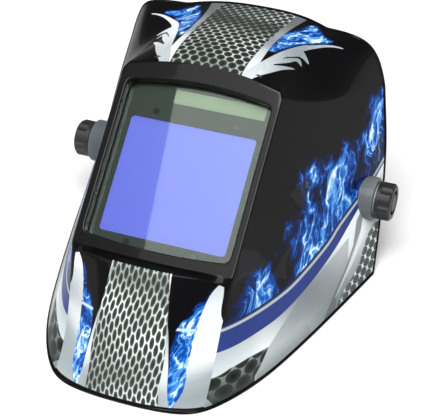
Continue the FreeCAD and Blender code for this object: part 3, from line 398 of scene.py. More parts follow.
class Skin:
    """Gathers grids of points into one welded mesh, with a zone and printed layers for each face."""

    def __init__(self):
        self.ids, self.points = {}, []
        self.faces, self.zones, self.corners = [], [], []
        self.rim = {}

    def index(self, point):
        key = tuple(np.round(point + WELD_SHIFT, 2))
        if key not in self.ids:
            self.ids[key] = len(self.points)
            self.points.append(point)
        return self.ids[key]

    def grid(self, zone, points, layers=None, rim=None):
        rows, columns = points.shape[:2]
        layers = dict(layers or {}, g_rim=-UNPRINTED if rim is None else rim)
        index = np.array([self.index(p) for p in points.reshape(-1, 3)]).reshape(rows, columns)
        if rim is not None:
            for i, distance in zip(index.ravel(), rim.ravel()):
                self.rim[i] = min(distance, self.rim.get(i, 1e9))
        quads = np.stack([index[:-1, :-1], index[:-1, 1:], index[1:, 1:], index[1:, :-1]], -1).reshape(-1, 4)
        self.faces += quads.tolist()
        self.zones += [ZONES.index(zone)] * len(quads)
        stack = np.full((rows, columns, len(LAYERS)), UNPRINTED)
        for name, values in layers.items():
            stack[..., LAYERS.index(name)] = values
        corner = np.stack([stack[:-1, :-1], stack[:-1, 1:], stack[1:, 1:], stack[1:, :-1]], 2)
        self.corners.append(corner.reshape(-1, len(LAYERS)))
        return index

    def polygons(self, zone, faces):
        self.faces += faces
        self.zones += [ZONES.index(zone)] * len(faces)
        self.corners.append(np.full((sum(len(f) for f in faces), len(LAYERS)), UNPRINTED))


def vertex_normals(points, faces):
    quads = np.array([f for f in faces if len(f) == 4])
    p = points[quads]
    normal = np.cross(p[:, 2] - p[:, 0], p[:, 3] - p[:, 1])
    total = np.zeros_like(points)
    for k in range(4):
        np.add.at(total, quads[:, k], normal)
    return total / np.maximum(np.linalg.norm(total, axis=1), 1e-9)[:, None]


def coarse(count):
    """Indices of the rows or columns that the inner skin keeps."""
    return list(range(0, count - 1, COARSE)) + [count - 1]


def shell_mesh():
    """Outer skin, window collar, rims and inner skin of the helmet shell."""
    lower, upper_net, temple_net = side_nets()
    cheek_low, cheek_high = split_rows(lower, 0.93)
    chin_net, sill_net = chin_nets(cheek_low, cheek_high)
    crown_net = forehead_net(temple_net[-1])
    u_side = graded(150, fine_high=18, fine=0.3)
    v_low = graded(75, fine_low=12, fine=0.35)
    v_sill, v_upper, v_temple = graded(6), graded(54), graded(33)
    u_chin, u_crown = graded(87), graded(81)
    skin = Skin()
    grids = []

    def add(zone, chart, points, rim):
        grids.append(skin.grid(zone, points, graphics(chart, points), rim))
        return grids[-1]

    side_parts = [("side", cheek_low, v_low), ("side", cheek_high, v_sill), ("side", upper_net, v_upper),
                  ("crown", temple_net, v_temple)]
    fronts = {1: [], -1: []}
    for part, (zone, net, v) in enumerate(side_parts):
        points = surface(net, u_side, v)
        rear = run_length(points, 1, True)
        rim = np.minimum(rear, run_length(points, 0)) if part == 0 else rear
        fronts[1].append(add(zone, zone, points, rim)[:, 0])
        mirrored = points[:, ::-1] * np.array([-1, 1, 1])
        fronts[-1].append(add(zone, zone, mirrored, rim[:, ::-1])[:, -1])
    chin = surface(chin_net, u_chin, v_low)
    add("chin", "chin", chin, run_length(chin, 0))
    sill = add("chin", "sill", surface(sill_net, u_chin, v_sill), None)
    crown = surface(crown_net, u_crown, u_side)
    crown_index = add("crown", "crown", crown, run_length(crown, 0, True))
    rim_paths = rim_loop(grids)

    right = np.concatenate([fronts[1][2][:-1], fronts[1][3][:-1]])
    left = np.concatenate([fronts[-1][3][:0:-1], fronts[-1][2][:0:-1]])
    face_loop = np.concatenate([sill[-1][:-1], right, crown_index[0][:0:-1], left])
    outer = np.array(skin.points)
    collar = window_rings(skin, outer[face_loop], (len(u_chin) - 1, len(right), len(u_crown) - 1, len(left)))
    finish_shell(skin, grids, rim_paths, face_loop, collar, len(outer))
    return skin


def rim_loop(grids):
    """Boundary rows of the outer grids that lie on the rim, each with its coarse indices."""
    right_low, left_low, chin, crown = grids[0], grids[1], grids[8], grids[10]
    paths = [left_low[0], chin[0], right_low[0]]
    paths += [grids[k][:, -1] for k in (0, 2, 4, 6)]
    paths += [crown[-1][::-1]]
    paths += [grids[k][::-1, 0] for k in (7, 5, 3, 1)]
    return paths


def window_rings(skin, loop_points, counts):
    """Flat face from its outline in to the opening, then the collar. Returns the collar's last ring."""
    hole, normal = opening_loop(counts)
    fillet = 0.9

    def ring(grow, depth):
        p = hole + normal * grow
        return np.array([window_point(x, depth, h) for x, h in p])
    mouth = ring(fillet, FACE_Y)
    rings = [loop_points + (mouth - loop_points) * t for t in np.linspace(0, 1, 12)]
    for angle in np.linspace(0, math.pi / 2, 5)[1:]:
        rings.append(ring(fillet * (1 - math.sin(angle)), FACE_Y + fillet * (1 - math.cos(angle))))
    for depth in np.linspace(FACE_Y + fillet, COLLAR_BACK, 6)[1:]:
        rings.append(ring(0, depth))
    rings.append(ring(COLLAR_WALL, COLLAR_BACK))
    rings.append(ring(COLLAR_WALL, FACE_Y + WALL))
    points = np.array([np.concatenate([r, r[:1]]) for r in rings])
    return skin.grid("face", points)[-1]


def finish_shell(skin, grids, rim_paths, face_loop, collar_ring, outer_count):
    """Bead along the rim, softened creases, inner skin, and the strips that join them."""
    points = np.array(skin.points)
    normals = vertex_normals(points, skin.faces)
    bead = np.zeros(len(points))
    for i, distance in skin.rim.items():
        lift = np.clip((BEAD_WIDTH - distance) / BEAD_FADE, 0, 1)
        roll = np.clip(1 - distance / BEAD_ROLL, 0, 1)
        bead[i] = BEAD_HEIGHT * (lift * lift * (3 - 2 * lift) - roll * roll)
    on_floor = points[:, 2] < 1e-6
    points = points + normals * bead[:, None]
    points[on_floor, 2] = 0.0
    points[:outer_count] = soften(points, skin.faces, outer_count, rim_paths)
    points[on_floor, 2] = 0.0

    thinned = [g[np.ix_(coarse(g.shape[0]), coarse(g.shape[1]))] for g in grids]
    used = sorted({int(i) for g in thinned for i in g.ravel()})
    inner_id = {i: len(points) + k for k, i in enumerate(used)}
    inner = points[used] - normals[used] * WALL
    rim_ids = {int(i) for path in rim_paths[:3] for i in path}
    for k, i in enumerate(used):
        if i in rim_ids:
            inner[k, 2] = 0.0
    skin.points = list(points) + list(inner)
    for g in thinned:
        ids = np.vectorize(inner_id.get)(g)
        quads = np.stack([ids[:-1, :-1], ids[1:, :-1], ids[1:, 1:], ids[:-1, 1:]], -1).reshape(-1, 4)
        skin.polygons("inner", quads.tolist())
    for path in rim_paths:
        skin.polygons("rim", strip(path, inner_id, coarse(len(path))))
    closed = list(face_loop) + [face_loop[0]]
    ring = list(collar_ring)
    marks = [k for k, i in enumerate(closed) if int(i) in inner_id]
    faces = []
    for a, b in zip(marks[:-1], marks[1:]):
        faces.append([int(i) for i in ring[a:b + 1]] + [inner_id[int(closed[b])], inner_id[int(closed[a])]])
    skin.polygons("inner", faces)


def strip(path, inner_id, marks):
    """Faces from a fine outer edge to the coarse inner edge below it."""
    faces = []
    for a, b in zip(marks[:-1], marks[1:]):
        outer = [int(i) for i in path[a:b + 1]]
        faces.append(outer[::-1] + [inner_id[outer[0]], inner_id[outer[-1]]])
    return faces


def soften(points, faces, keep, rim_paths, rounds=2):
    """Light smoothing of the outer skin, which rounds its creases; rims stay."""
    quads = np.array([f for f in faces if len(f) == 4])
    edges = np.concatenate([quads[:, [k, (k + 1) % 4]] for k in range(4)])
    fixed = np.zeros(len(points), bool)
    for path in rim_paths:
        fixed[np.asarray(path, int)] = True
    moved = points.copy()
    count = np.bincount(edges.ravel(), minlength=len(points))
    for _ in range(rounds):
        total = np.zeros_like(moved)
        np.add.at(total, edges[:, 0], moved[edges[:, 1]])
        np.add.at(total, edges[:, 1], moved[edges[:, 0]])
        mean = total / np.maximum(count, 1)[:, None]
        free = ~fixed & (count > 0)
        free[keep:] = False
        moved[free] += 0.5 * (mean[free] - moved[free])
    return moved[:keep]


def new_object(name, data):
    """An object around a mesh, light or camera, linked into the scene."""
    made = bpy.data.objects.new(name, data)
    bpy.context.scene.collection.objects.link(made)
    return made


def mesh_object(name, points, faces, body):
    """A smooth mesh from millimetre points, riding on a body."""
    mesh = bpy.data.meshes.new(name)
    points = np.array(points, float)
    points[:, 2] = np.maximum(points[:, 2], 0.0)
    mesh.from_pydata(place(points).tolist(), [], faces)
    mesh.validate()
    mesh.shade_smooth()
    piece = new_object(name, mesh)
    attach(piece, body)
    return piece


# ---- materials ----
def rgb(red, green, blue):
    """An sRGB colour from 0 to 255, as the linear values that shaders take."""
    def linear(c):
        c /= 255
        return c / 12.92 if c <= 0.04045 else ((c + 0.055) / 1.055) ** 2.4
    return (linear(red), linear(green), linear(blue), 1.0)


BLACK = rgb(6, 6, 8)


class Paint:
    """One material and short ways to add nodes to it. Lengths in it are millimetres."""

    def __init__(self, name, roughness=0.4, metallic=0.0, coat=0.0, coat_roughness=0.05, specular=0.5):
        self.material = bpy.data.materials.new(name)
        self.material.use_nodes = True
        self.tree = self.material.node_tree
        self.shader = self.tree.nodes["Principled BSDF"]
        for key, value in (("Roughness", roughness), ("Metallic", metallic), ("Coat Weight", coat),
                           ("Coat Roughness", coat_roughness), ("Specular IOR Level", specular)):
            self.shader.inputs[key].default_value = value

    def put(self, socket, value):
        if isinstance(value, bpy.types.NodeSocket):
            self.tree.links.new(value, socket)
        else:
            socket.default_value = value

    def node(self, kind, inputs, out=0, **settings):
        node = self.tree.nodes.new("ShaderNode" + kind)
        for key, value in settings.items():
            setattr(node, key, value)
        for key, value in inputs.items():
            self.put(node.inputs[key], value)
        return node.outputs[out]

    def math(self, operation, a, b=0.0, c=0.0, clamp=False):
        return self.node("Math", {0: a, 1: b, 2: c}, operation=operation, use_clamp=clamp)

    def add(self, a, b):
        return self.math("ADD", a, b)

    def mul(self, a, b, clamp=False):
        return self.math("MULTIPLY", a, b, clamp=clamp)

    def line(self, value, slope, offset):
        return self.math("MULTIPLY_ADD", value, slope, offset)

    def rest(self, value):
        """1 minus the value."""
        return self.math("SUBTRACT", 1.0, value)

    def vector(self, operation, *values):
        return self.node("VectorMath", dict(enumerate(values)), operation=operation)

    def step(self, value, edge=0.0, soft=0.35):
        """0 below the edge, 1 above it, with a soft change as wide as soft."""
        return self.math("MULTIPLY_ADD", value, 1 / soft, 0.5 - edge / soft, clamp=True)

    def band(self, value, low, high, soft=0.35):
        return self.mul(self.step(value, low, soft), self.rest(self.step(value, high, soft)))

    def mix(self, factor, a, b):
        return self.node("Mix", {0: factor, 6: a, 7: b}, out=2, data_type="RGBA")

    def blend(self, factor, a, b):
        return self.node("Mix", {0: factor, 2: a, 3: b}, data_type="FLOAT")

    def layer(self, name):
        return self.node("Attribute", {}, out=2, attribute_name=name)

    def over(self, name, under, top, share=1.0, soft=0.35):
        """One colour over another, inside a layer's outline."""
        factor = self.step(self.layer(name), 0.0, soft)
        return self.mix(factor if share == 1.0 else self.mul(factor, share), under, top)

    def spot(self, scale=None):
        """The point on the object in these millimetre numbers, scaled along each axis."""
        at = self.vector("MULTIPLY_ADD", self.node("TexCoord", {}, out=3), (1 / MM,) * 3, (0, -ROW_SHIFT, 0))
        return self.node("Mapping", {"Vector": at, "Scale": scale}) if scale else at

    def split(self, vector):
        node = self.tree.nodes.new("ShaderNodeSeparateXYZ")
        self.put(node.inputs[0], vector)
        return node.outputs

    def join(self, x, y, z=0.0):
        return self.node("CombineXYZ", {0: x, 1: y, 2: z})

    def noise(self, vector, scale, detail=3.0, rough=0.55, twist=0.0, colour=False):
        return self.node("TexNoise", {"Vector": vector, "Scale": scale, "Detail": detail, "Roughness": rough,
                                      "Distortion": twist}, out=1 if colour else 0)

    def ramp(self, value, *stops):
        node = self.tree.nodes.new("ShaderNodeValToRGB")
        self.put(node.inputs[0], value)
        elements = node.color_ramp.elements
        while len(elements) < len(stops):
            elements.new(0.5)
        for element, (place_, colour) in zip(elements, stops):
            element.position, element.color = place_, colour
        return node.outputs[0]

    def bump(self, height, distance, strength=1.0):
        """height from 0 to 1, raised by distance millimetres."""
        normal = self.node("Bump", {"Height": height, "Distance": distance * MM, "Strength": strength})
        self.put(self.shader.inputs["Normal"], normal)

    def done(self, colour=None, roughness=None, metallic=None):
        for key, value in (("Base Color", colour), ("Roughness", roughness), ("Metallic", metallic)):
            if value is not None:
                self.put(self.shader.inputs[key], value)
        return self.material

    def printed(self, colour, edge):
        """A lacquered print, which stops at the black bead along the rim."""
        self.bump(self.noise(self.spot(), 0.35, 2), 0.02, 0.25)
        return self.done(self.mix(self.step(self.layer("g_rim"), edge), BLACK, colour))

    def holes(self, u, v, pitch, tall, width, height, lean=0.0, soft=0.25):
        """1 inside the ovals of a staggered net, 0 on its strands, and a 0-to-1 distance from each oval's middle."""
        u = self.line(v, -lean, u)
        near = None
        for shift in (0.0, 0.5):
            a = self.math("FRACT", self.line(u, 1 / pitch, 100 + shift))
            b = self.math("FRACT", self.line(v, 1 / tall, 100 + shift))
            a = self.mul(self.add(a, -0.5), 2 * pitch / width)
            b = self.mul(self.add(b, -0.5), 2 * tall / height)
            reach = self.math("SQRT", self.add(self.mul(a, a), self.mul(b, b)))
            near = reach if near is None else self.math("MINIMUM", near, reach)
        return self.rest(self.step(near, 1.0, soft)), near

    def flames(self, u, v, depth, grain=1.0, lean=0.5, rise=12.0, glow=0.0):
        """Blue flames on black. depth is how far inside the printed area, in millimetres."""
        at = self.join(self.line(v, -lean, u), v)
        wide = self.noise(at, 0.022 / grain, 2, 0.5, 0.4, colour=True)
        small = self.noise(at, 0.07 / grain, 2, 0.5, colour=True)
        for noise, reach, back in ((wide, 46, -23), (small, 15, -7)):
            shove = self.vector("MULTIPLY_ADD", noise, (reach * grain,) * 3, (back * grain,) * 3)
            at = self.vector("ADD", at, shove)
        tall = self.node("Mapping", {"Vector": at, "Scale": (1.0, 0.42, 1.0)})
        threads = None
        for size, power, share in ((0.045, 12.0, 0.6), (0.1, 14.0, 0.5), (0.2, 12.0, 0.25)):
            ridge = self.noise(tall, size / grain, 1.5, 0.5)
            ridge = self.math("ABSOLUTE", self.line(ridge, 2.0, -1.0))
            ridge = self.mul(self.math("POWER", self.rest(ridge), power), share)
            threads = ridge if threads is None else self.add(threads, ridge)
        body = self.noise(tall, 0.04 / grain, 4, 0.6)
        ragged = self.line(self.noise(tall, 0.06 / grain, 2, 0.5), 22.0 * grain, -11.0 * grain)
        mask = self.step(self.add(depth, ragged), rise * 0.3, rise * 0.8)
        heat = self.line(self.step(body, 0.52, 0.3), 0.36, glow)
        heat = self.add(heat, self.mul(threads, self.line(self.step(body, 0.5, 0.5), 0.75, 0.25)))
        heat = self.mul(heat, mask, clamp=True)
        return self.ramp(heat, (0.0, BLACK), (0.14, rgb(5, 12, 36)), (0.3, rgb(8, 40, 104)), (0.48, rgb(14, 86, 184)),
                         (0.7, rgb(92, 168, 232)), (0.95, rgb(232, 245, 252)))

    def silver(self, x, y, z, top=rgb(222, 228, 230), low=rgb(120, 128, 132)):
        """Soft bands of light and shade, as in airbrushed metal, with a fine brushed grain."""
        bands = self.noise(self.join(self.mul(x, 0.25), self.mul(y, 0.6), z), 0.032, 1.0, 0.4)
        grain = self.noise(self.join(self.mul(x, 0.15), y, z), 0.9, 1, 0.5)
        value = self.add(self.step(bands, 0.5, 0.42), self.line(grain, 0.12, -0.06))
        return self.ramp(value, (0.0, low), (0.45, rgb(168, 177, 181)), (0.85, top), (1.0, rgb(240, 246, 247)))


GLOSS = dict(roughness=0.5, coat=0.16, coat_roughness=0.03, specular=0.05)
SIDE_EDGE, FRONT_EDGE = 3.4, 4.2     # width of the black edge along the rim


def side_paint():
    """Printed side: black with flames, silver line, blue band and a silver panel with two patches of net."""
    p = Paint("shell_side_print", **GLOSS)
    _, y, z = p.split(p.spot())
    line, band, depth = p.layer("g_line"), p.layer("g_band"), p.layer("g_flame")
    colour = p.flames(y, z, depth, 1.0, 0.55, 14.0, 0.08)
    # Painted reflection: dark grey shapes laid over the flames.
    colour = p.over("g_dark", colour, rgb(30, 31, 33), 0.75, 1.0)
    panel = p.silver(y, z, p.mul(y, 0.3))
    low = p.step(p.add(z, p.mul(y, -0.16)), 22.0, 60.0)
    panel = p.mix(low, p.mix(0.35, panel, rgb(96, 106, 104)), panel)
    panel = p.over("g_shade", panel, rgb(128, 135, 136), 0.55, 0.5)
    front = p.mul(p.step(p.mul(y, -1.0), 84, 10), p.step(z, 10, 14))
    panel = p.mix(p.mul(front, 0.5), panel, rgb(205, 213, 216))
    panel = p.over("g_slash", panel, rgb(98, 104, 106), 0.8, 0.5)
    panel = p.over("g_light", panel, rgb(226, 232, 234), 0.8, 2.0)
    hole, reach = p.holes(y, z, 14.0, 13.0, 11.6, 7.9, lean=0.5, soft=0.1)
    strand = p.ramp(p.mul(z, 0.045), (0.1, rgb(52, 60, 56)), (0.9, rgb(132, 141, 136)))
    net = p.mix(hole, strand, p.ramp(reach, (0.0, rgb(16, 18, 18)), (0.9, rgb(46, 50, 48))))
    rear = p.step(y, -30, 1)
    small = p.holes(y, z, 11.0, 9.0, 8.6, 5.9, lean=0.2, soft=0.16)[0]
    net = p.mix(rear, net, p.mix(small, rgb(212, 218, 218), rgb(74, 80, 80)))
    inside_net = p.step(p.layer("g_hex"), 0, 0.6)
    fade = p.blend(rear, 1.0, p.rest(p.step(p.add(z, p.mul(y, -0.55)), 8, 34)))
    panel = p.mix(p.mul(inside_net, fade), panel, net)
    rim_shade = p.rest(p.step(p.add(z, p.mul(p.math("ABSOLUTE", p.add(y, 30)), 0.02)), 8, 12))
    panel = p.mix(p.mul(rim_shade, p.blend(rear, 0.55, 0.35)), panel, rgb(66, 72, 70))
    blue = p.mix(p.noise(p.spot(), 0.02, 1), rgb(34, 50, 112), rgb(48, 66, 136))
    colour = p.mix(p.step(line, 4.2), p.mix(p.band(line, 2.4, 3.4, 0.3), BLACK, rgb(44, 58, 120)), colour)
    colour = p.mix(p.step(line, 2.0), rgb(176, 184, 188), colour)
    colour = p.mix(p.step(line, -0.2), blue, colour)
    return p.printed(p.mix(p.step(band, 0.0), panel, colour), SIDE_EDGE)


def chin_paint():
    """Printed chin: an oval net down the middle, silver borders and blades, blue flames between."""
    p = Paint("shell_chin_print", **GLOSS)
    x, y, z = p.split(p.spot())
    run = p.layer("g_run")
    away = p.math("ABSOLUTE", x)
    wave = p.mul(p.math("SINE", p.mul(run, 0.13)), 0.6)
    hole, reach = p.holes(p.add(x, wave), run, 6.8, 9.8, 3.1, 8.8, lean=0.08, soft=0.2)
    light = p.noise(p.spot((0.6, 0.6, 1.6)), 0.02, 2)
    strand = p.ramp(light, (0.3, rgb(112, 120, 116)), (0.5, rgb(176, 184, 180)), (0.68, rgb(230, 238, 234)))
    pit = p.ramp(reach, (0.2, rgb(46, 49, 47)), (0.95, rgb(72, 76, 73)))
    net = p.mix(hole, strand, pit)
    border = p.silver(x, z, y)
    blades = p.silver(p.mul(x, 0.7), z, p.mul(z, 0.5), top=rgb(232, 238, 240), low=rgb(140, 150, 154))
    top = p.step(z, 54, 12)
    depth = p.layer("g_flame")
    flame = p.flames(p.mul(x, 1.1), z, p.add(depth, p.blend(top, 5.0, 1.0)), 0.55, 0.35, 6.0, p.blend(top, 0.22, 0.1))
    ice = p.mul(p.band(p.add(z, p.mul(away, 0.25)), 60.2, 61.8, 0.8), p.step(depth, 0, 0.5))
    flame = p.mix(p.mul(ice, 0.85), flame, rgb(215, 232, 250))
    colour = p.mix(p.step(depth, 0, 0.7), BLACK, flame)
    for name, top in (("g_band", border), ("g_hex", net), ("g_line", blades)):
        colour = p.over(name, colour, top)
    return p.printed(colour, FRONT_EDGE)


def crown_paint():
    """Printed forehead: the net between silver bands, flames, feathered silver stripes on black."""
    p = Paint("shell_crown_print", **GLOSS)
    x, y, z = p.split(p.spot())
    hole, reach = p.holes(x, y, 7.2, 10.8, 6.0, 6.2, soft=0.2)
    light = p.noise(p.spot((0.5, 1.0, 1.0)), 0.025, 2)
    strand = p.ramp(light, (0.32, rgb(96, 104, 98)), (0.5, rgb(170, 178, 172)), (0.68, rgb(226, 233, 228)))
    net = p.mix(hole, strand, p.ramp(reach, (0.2, rgb(34, 37, 35)), (0.95, rgb(58, 62, 59))))
    border = p.silver(p.mul(x, 0.4), y, z)
    border = p.mix(p.step(y, 88, 60), border, rgb(108, 114, 116))
    stripe = p.silver(y, p.mul(x, 0.5), z, top=rgb(236, 242, 243), low=rgb(96, 104, 108))
    depth = p.layer("g_flame")
    colour = p.flames(p.mul(x, 1.2), y, p.add(depth, 3.0), 0.6, 0.6, 6.0, 0.2)
    colour = p.mix(p.step(depth, -1.5, 2.0), BLACK, colour)
    for name, top in (("g_band", border), ("g_hex", net), ("g_line", stripe)):
        colour = p.over(name, colour, top)
    return p.printed(colour, FRONT_EDGE)


def plastic(name, colour, roughness, grain=0.5, depth=0.03, coat=0.0, **more):
    """Moulded plastic: a fine texture, slightly uneven colour and gloss."""
    p = Paint(name, coat=coat, **more)
    patches = p.noise(p.spot(), 0.06, 3)
    dark = tuple(c * 0.75 for c in colour[:3]) + (1.0,)
    p.bump(p.noise(p.spot(), 1 / grain, 3, 0.6), depth, 0.5)
    return p.done(p.mix(patches, dark, colour), p.line(patches, 0.16, roughness - 0.08))


def metal(name, colour, roughness, stretch=None):
    p = Paint(name, metallic=1.0)
    streaks = p.noise(p.spot(stretch), 1.2, 3)
    p.bump(streaks, 0.01, 0.4)
    dark = tuple(c * 0.7 for c in colour[:3]) + (1.0,)
    return p.done(p.mix(p.noise(p.spot(), 0.15, 3), dark, colour), p.line(streaks, 0.2, roughness - 0.1))


def clear_cover(name, tint, share):
    """A clear sheet: mostly see-through, with the reflections of a polished surface."""
    p = Paint(name)
    tree = p.tree
    through = tree.nodes.new("ShaderNodeBsdfTransparent")
    through.inputs[0].default_value = tint
    gloss = tree.nodes.new("ShaderNodeBsdfGlossy")
    gloss.inputs["Roughness"].default_value = 0.02
    smear = p.noise(p.spot((0.3, 1.0, 1.0)), 0.05, 2)
    p.put(gloss.inputs["Color"], p.mix(smear, rgb(235, 240, 236), rgb(255, 255, 255)))
    fresnel = p.node("Fresnel", {"IOR": 1.5})
    mixed = tree.nodes.new("ShaderNodeMixShader")
    p.put(mixed.inputs[0], p.mul(fresnel, share, clamp=True))
    p.put(mixed.inputs[1], through.outputs[0])
    p.put(mixed.inputs[2], gloss.outputs[0])
    p.put(tree.nodes["Material Output"].inputs[0], mixed.outputs[0])
    return p.material


def filter_coat():
    """Mirror-coated filter glass, blue-violet, very slightly uneven, with a painted glow: it gives off a little
    blue-violet light of its own.
    """
    p = Paint("filter_glass_glow_coat", roughness=0.12, coat=0.6, coat_roughness=0.02)
    # Painted glow: a faint blue-violet emission brightens the filter, though it is no lamp.
    p.shader.inputs["Emission Color"].default_value = (0.23, 0.07, 1.0, 1.0)
    p.shader.inputs["Emission Strength"].default_value = 0.22
    x, _, z = p.split(p.spot())
    even = p.noise(p.spot((0.5, 0.5, 1.0)), 0.012, 2)
    slope = p.step(p.add(p.mul(x, 0.5), z), 112, 160)
    colour = p.mix(slope, (0.2, 0.235, 1.0, 1.0), (0.25, 0.29, 1.0, 1.0))
    return p.done(p.mix(p.mul(even, 0.25), colour, (0.27, 0.31, 1.0, 1.0)))


def solar_face():
    """Thin-film solar cell: pale olive stripes under glass."""
    p = Paint("solar_cell_face", roughness=0.35, coat=0.7, coat_roughness=0.05)
    stripe = p.math("FRACT", p.line(p.split(p.spot())[0], 1 / 8.7, 100.3))
    wire = p.band(stripe, 0.47, 0.53, 0.04)
    tone = p.mix(p.noise(p.spot(), 0.08, 3), rgb(150, 160, 132), rgb(172, 182, 152))
    return p.done(p.mix(p.mul(wire, 0.35), tone, rgb(120, 128, 108)))


def board_paint():
    """Solder mask with tracks and tinned pads."""
    p = Paint("board_solder_mask", roughness=0.35, coat=0.4)
    tracks = p.node("TexVoronoi", {"Vector": p.spot(), "Scale": 0.22}, feature="DISTANCE_TO_EDGE")
    line = p.rest(p.step(tracks, 0.1, 0.05))
    pads = p.rest(p.step(p.node("TexVoronoi", {"Vector": p.spot(), "Scale": 0.3}), 0.22, 0.05))
    colour = p.mix(line, rgb(12, 74, 40), rgb(28, 108, 62))
    return p.done(p.mix(pads, colour, rgb(186, 186, 190)), p.blend(pads, 0.35, 0.25), pads)


def knit(name):
    """Soft brushed knit: fine ribs, fuzz and a little sheen."""
    p = Paint(name, roughness=0.95, specular=0.2)
    p.shader.inputs["Sheen Weight"].default_value = 0.4
    p.shader.inputs["Sheen Roughness"].default_value = 0.5
    x, y, z = p.split(p.spot())
    ribs = p.math("SINE", p.mul(z, 2 * math.pi / 1.4))
    around = p.math("SINE", p.mul(p.math("ARCTAN2", p.add(y, -PIVOT_BACK - 20.0), x), 330.0))
    weave = p.line(p.mul(ribs, around), 0.5, 0.5)
    fuzz = p.noise(p.spot(), 1.6, 4, 0.7)
    height = p.add(p.mul(weave, 0.6), p.mul(fuzz, 0.4))
    p.bump(height, 0.35, 0.7)
    tone = p.mix(fuzz, rgb(24, 25, 28), rgb(64, 66, 71))
    return p.done(p.mix(p.mul(weave, 0.5), tone, rgb(46, 48, 53)))


MATERIALS = {
    "cover_lens_clear": clear_cover("clear_polycarbonate", rgb(236, 243, 238), 1.35),
    "filter_glass": filter_coat(),
    "solar_cell": solar_face(),
    "sensor_plastic": plastic("sensor_dome", rgb(18, 20, 24), 0.1, coat=1.0),
    "filter_housing": plastic("cartridge_housing", rgb(24, 32, 27), 0.42, 1.5, 0.004),
    "holder_plastic": plastic("holder_nylon", rgb(30, 30, 31), 0.5, 0.5, 0.05),
    "gasket_rubber": plastic("closed_cell_rubber", rgb(22, 22, 22), 0.85, 0.6, 0.12),
    "screw_steel": metal("zinc_steel", rgb(176, 178, 182), 0.3),
    "cell_steel": metal("nickel_can", rgb(205, 205, 208), 0.18),
    "board_green": board_paint(),
    "knob_plastic": plastic("knob_nylon", rgb(31, 31, 33), 0.5, 0.35, 0.05),
    "brass_insert": metal("turned_brass", rgb(200, 160, 84), 0.25, (4.0, 0.3, 0.3)),
    "arm_plastic": plastic("arm_nylon", rgb(32, 32, 33), 0.45, 0.45, 0.04),
    "washer_plastic": plastic("natural_acetal", rgb(196, 194, 186), 0.4, 0.7, 0.02),
    "band_plastic": plastic("band_polyethylene", rgb(40, 41, 44), 0.42, 0.8, 0.05),
    "strap_plastic": plastic("strap_polyethylene", rgb(44, 45, 48), 0.4, 0.8, 0.05),
    "pin_plastic": plastic("pin_nylon", rgb(52, 52, 54), 0.35, 0.6, 0.03),
    "sizer_plastic": plastic("sizer_nylon", rgb(34, 34, 37), 0.45, 0.4, 0.05),
    "control_plastic": plastic("control_satin", rgb(40, 41, 43), 0.3, 0.5, 0.02),
    "switch_plastic": plastic("switch_red", rgb(168, 34, 28), 0.35, 0.5, 0.02),
    "pad_fabric": knit("brushed_knit"),
}
SHELL_PAINT = {
    "side": side_paint(), "chin": chin_paint(), "crown": crown_paint(),
    "face": plastic("shell_gloss_black", rgb(8, 8, 10), 0.3, 4.0, 0.006, coat=0.3, coat_roughness=0.03, specular=0.1),
    "rim": plastic("shell_rim_black", rgb(14, 14, 15), 0.3, 2.0, 0.02, coat=0.6),
    "inner": plastic("shell_inside_black", rgb(24, 24, 25), 0.5, 0.6, 0.06),
}


# ---- pieces ----
def build_shell():
    skin = shell_mesh()
    shell = mesh_object("shell", skin.points, skin.faces, "shell")
    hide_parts("helmet_shell")
    mesh = shell.data
    for zone in ZONES:
        mesh.materials.append(SHELL_PAINT[zone])
    mesh.polygons.foreach_set("material_index", np.array(skin.zones, np.int32))
    corners = np.concatenate(skin.corners)
    for k, name in enumerate(LAYERS):
        layer = mesh.attributes.new(name, "FLOAT", "CORNER")
        layer.data.foreach_set("value", corners[:, k].astype(np.float32))


def lathe(name, profile, centre, axis, body, material, steps=72):
    """Closed ring of (radius, distance along the axis) points turned about an axis."""
    axis = np.array(axis, float) / np.linalg.norm(axis)
    side = np.cross(axis, [0.3, 0.5, 0.81])
    side /= np.linalg.norm(side)
    other = np.cross(axis, side)
    points, count = [], len(profile)
    for k in range(steps):
        turn = 2 * math.pi * k / steps
        out = side * math.cos(turn) + other * math.sin(turn)
        points += [np.array(centre) + out * r + axis * d for r, d in profile]
    faces = []
    for k in range(steps):
        a, b = k * count, (k + 1) % steps * count
        for i in range(count):
            j = (i + 1) % count
            faces.append([a + i, b + i, b + j, a + j])
    piece = mesh_object(name, points, faces, body)
    piece.data.materials.append(material)
    return piece


def rounded(points, radius=0.6, steps=3):
    """Small rounds at the corners of a closed profile."""
    out, n = [], len(points)
    for k in range(n):
        a, b, c = (np.array(points[(k + j) % n], float) for j in (-1, 0, 1))
        u, v = a - b, c - b
        cut = min(radius, 0.45 * np.linalg.norm(u), 0.45 * np.linalg.norm(v))
        start, end = b + u / np.linalg.norm(u) * cut, b + v / np.linalg.norm(v) * cut
        out += [tuple(start * (1 - t) ** 2 + 2 * b * t * (1 - t) + end * t * t) for t in np.linspace(0, 1, steps + 1)]
    return out


def tube(hole, outside, low, high, edge):
    """Profile of a short tube with rounded edges."""
    return rounded([(hole, low), (outside, low), (outside, high), (hole, high)], edge)


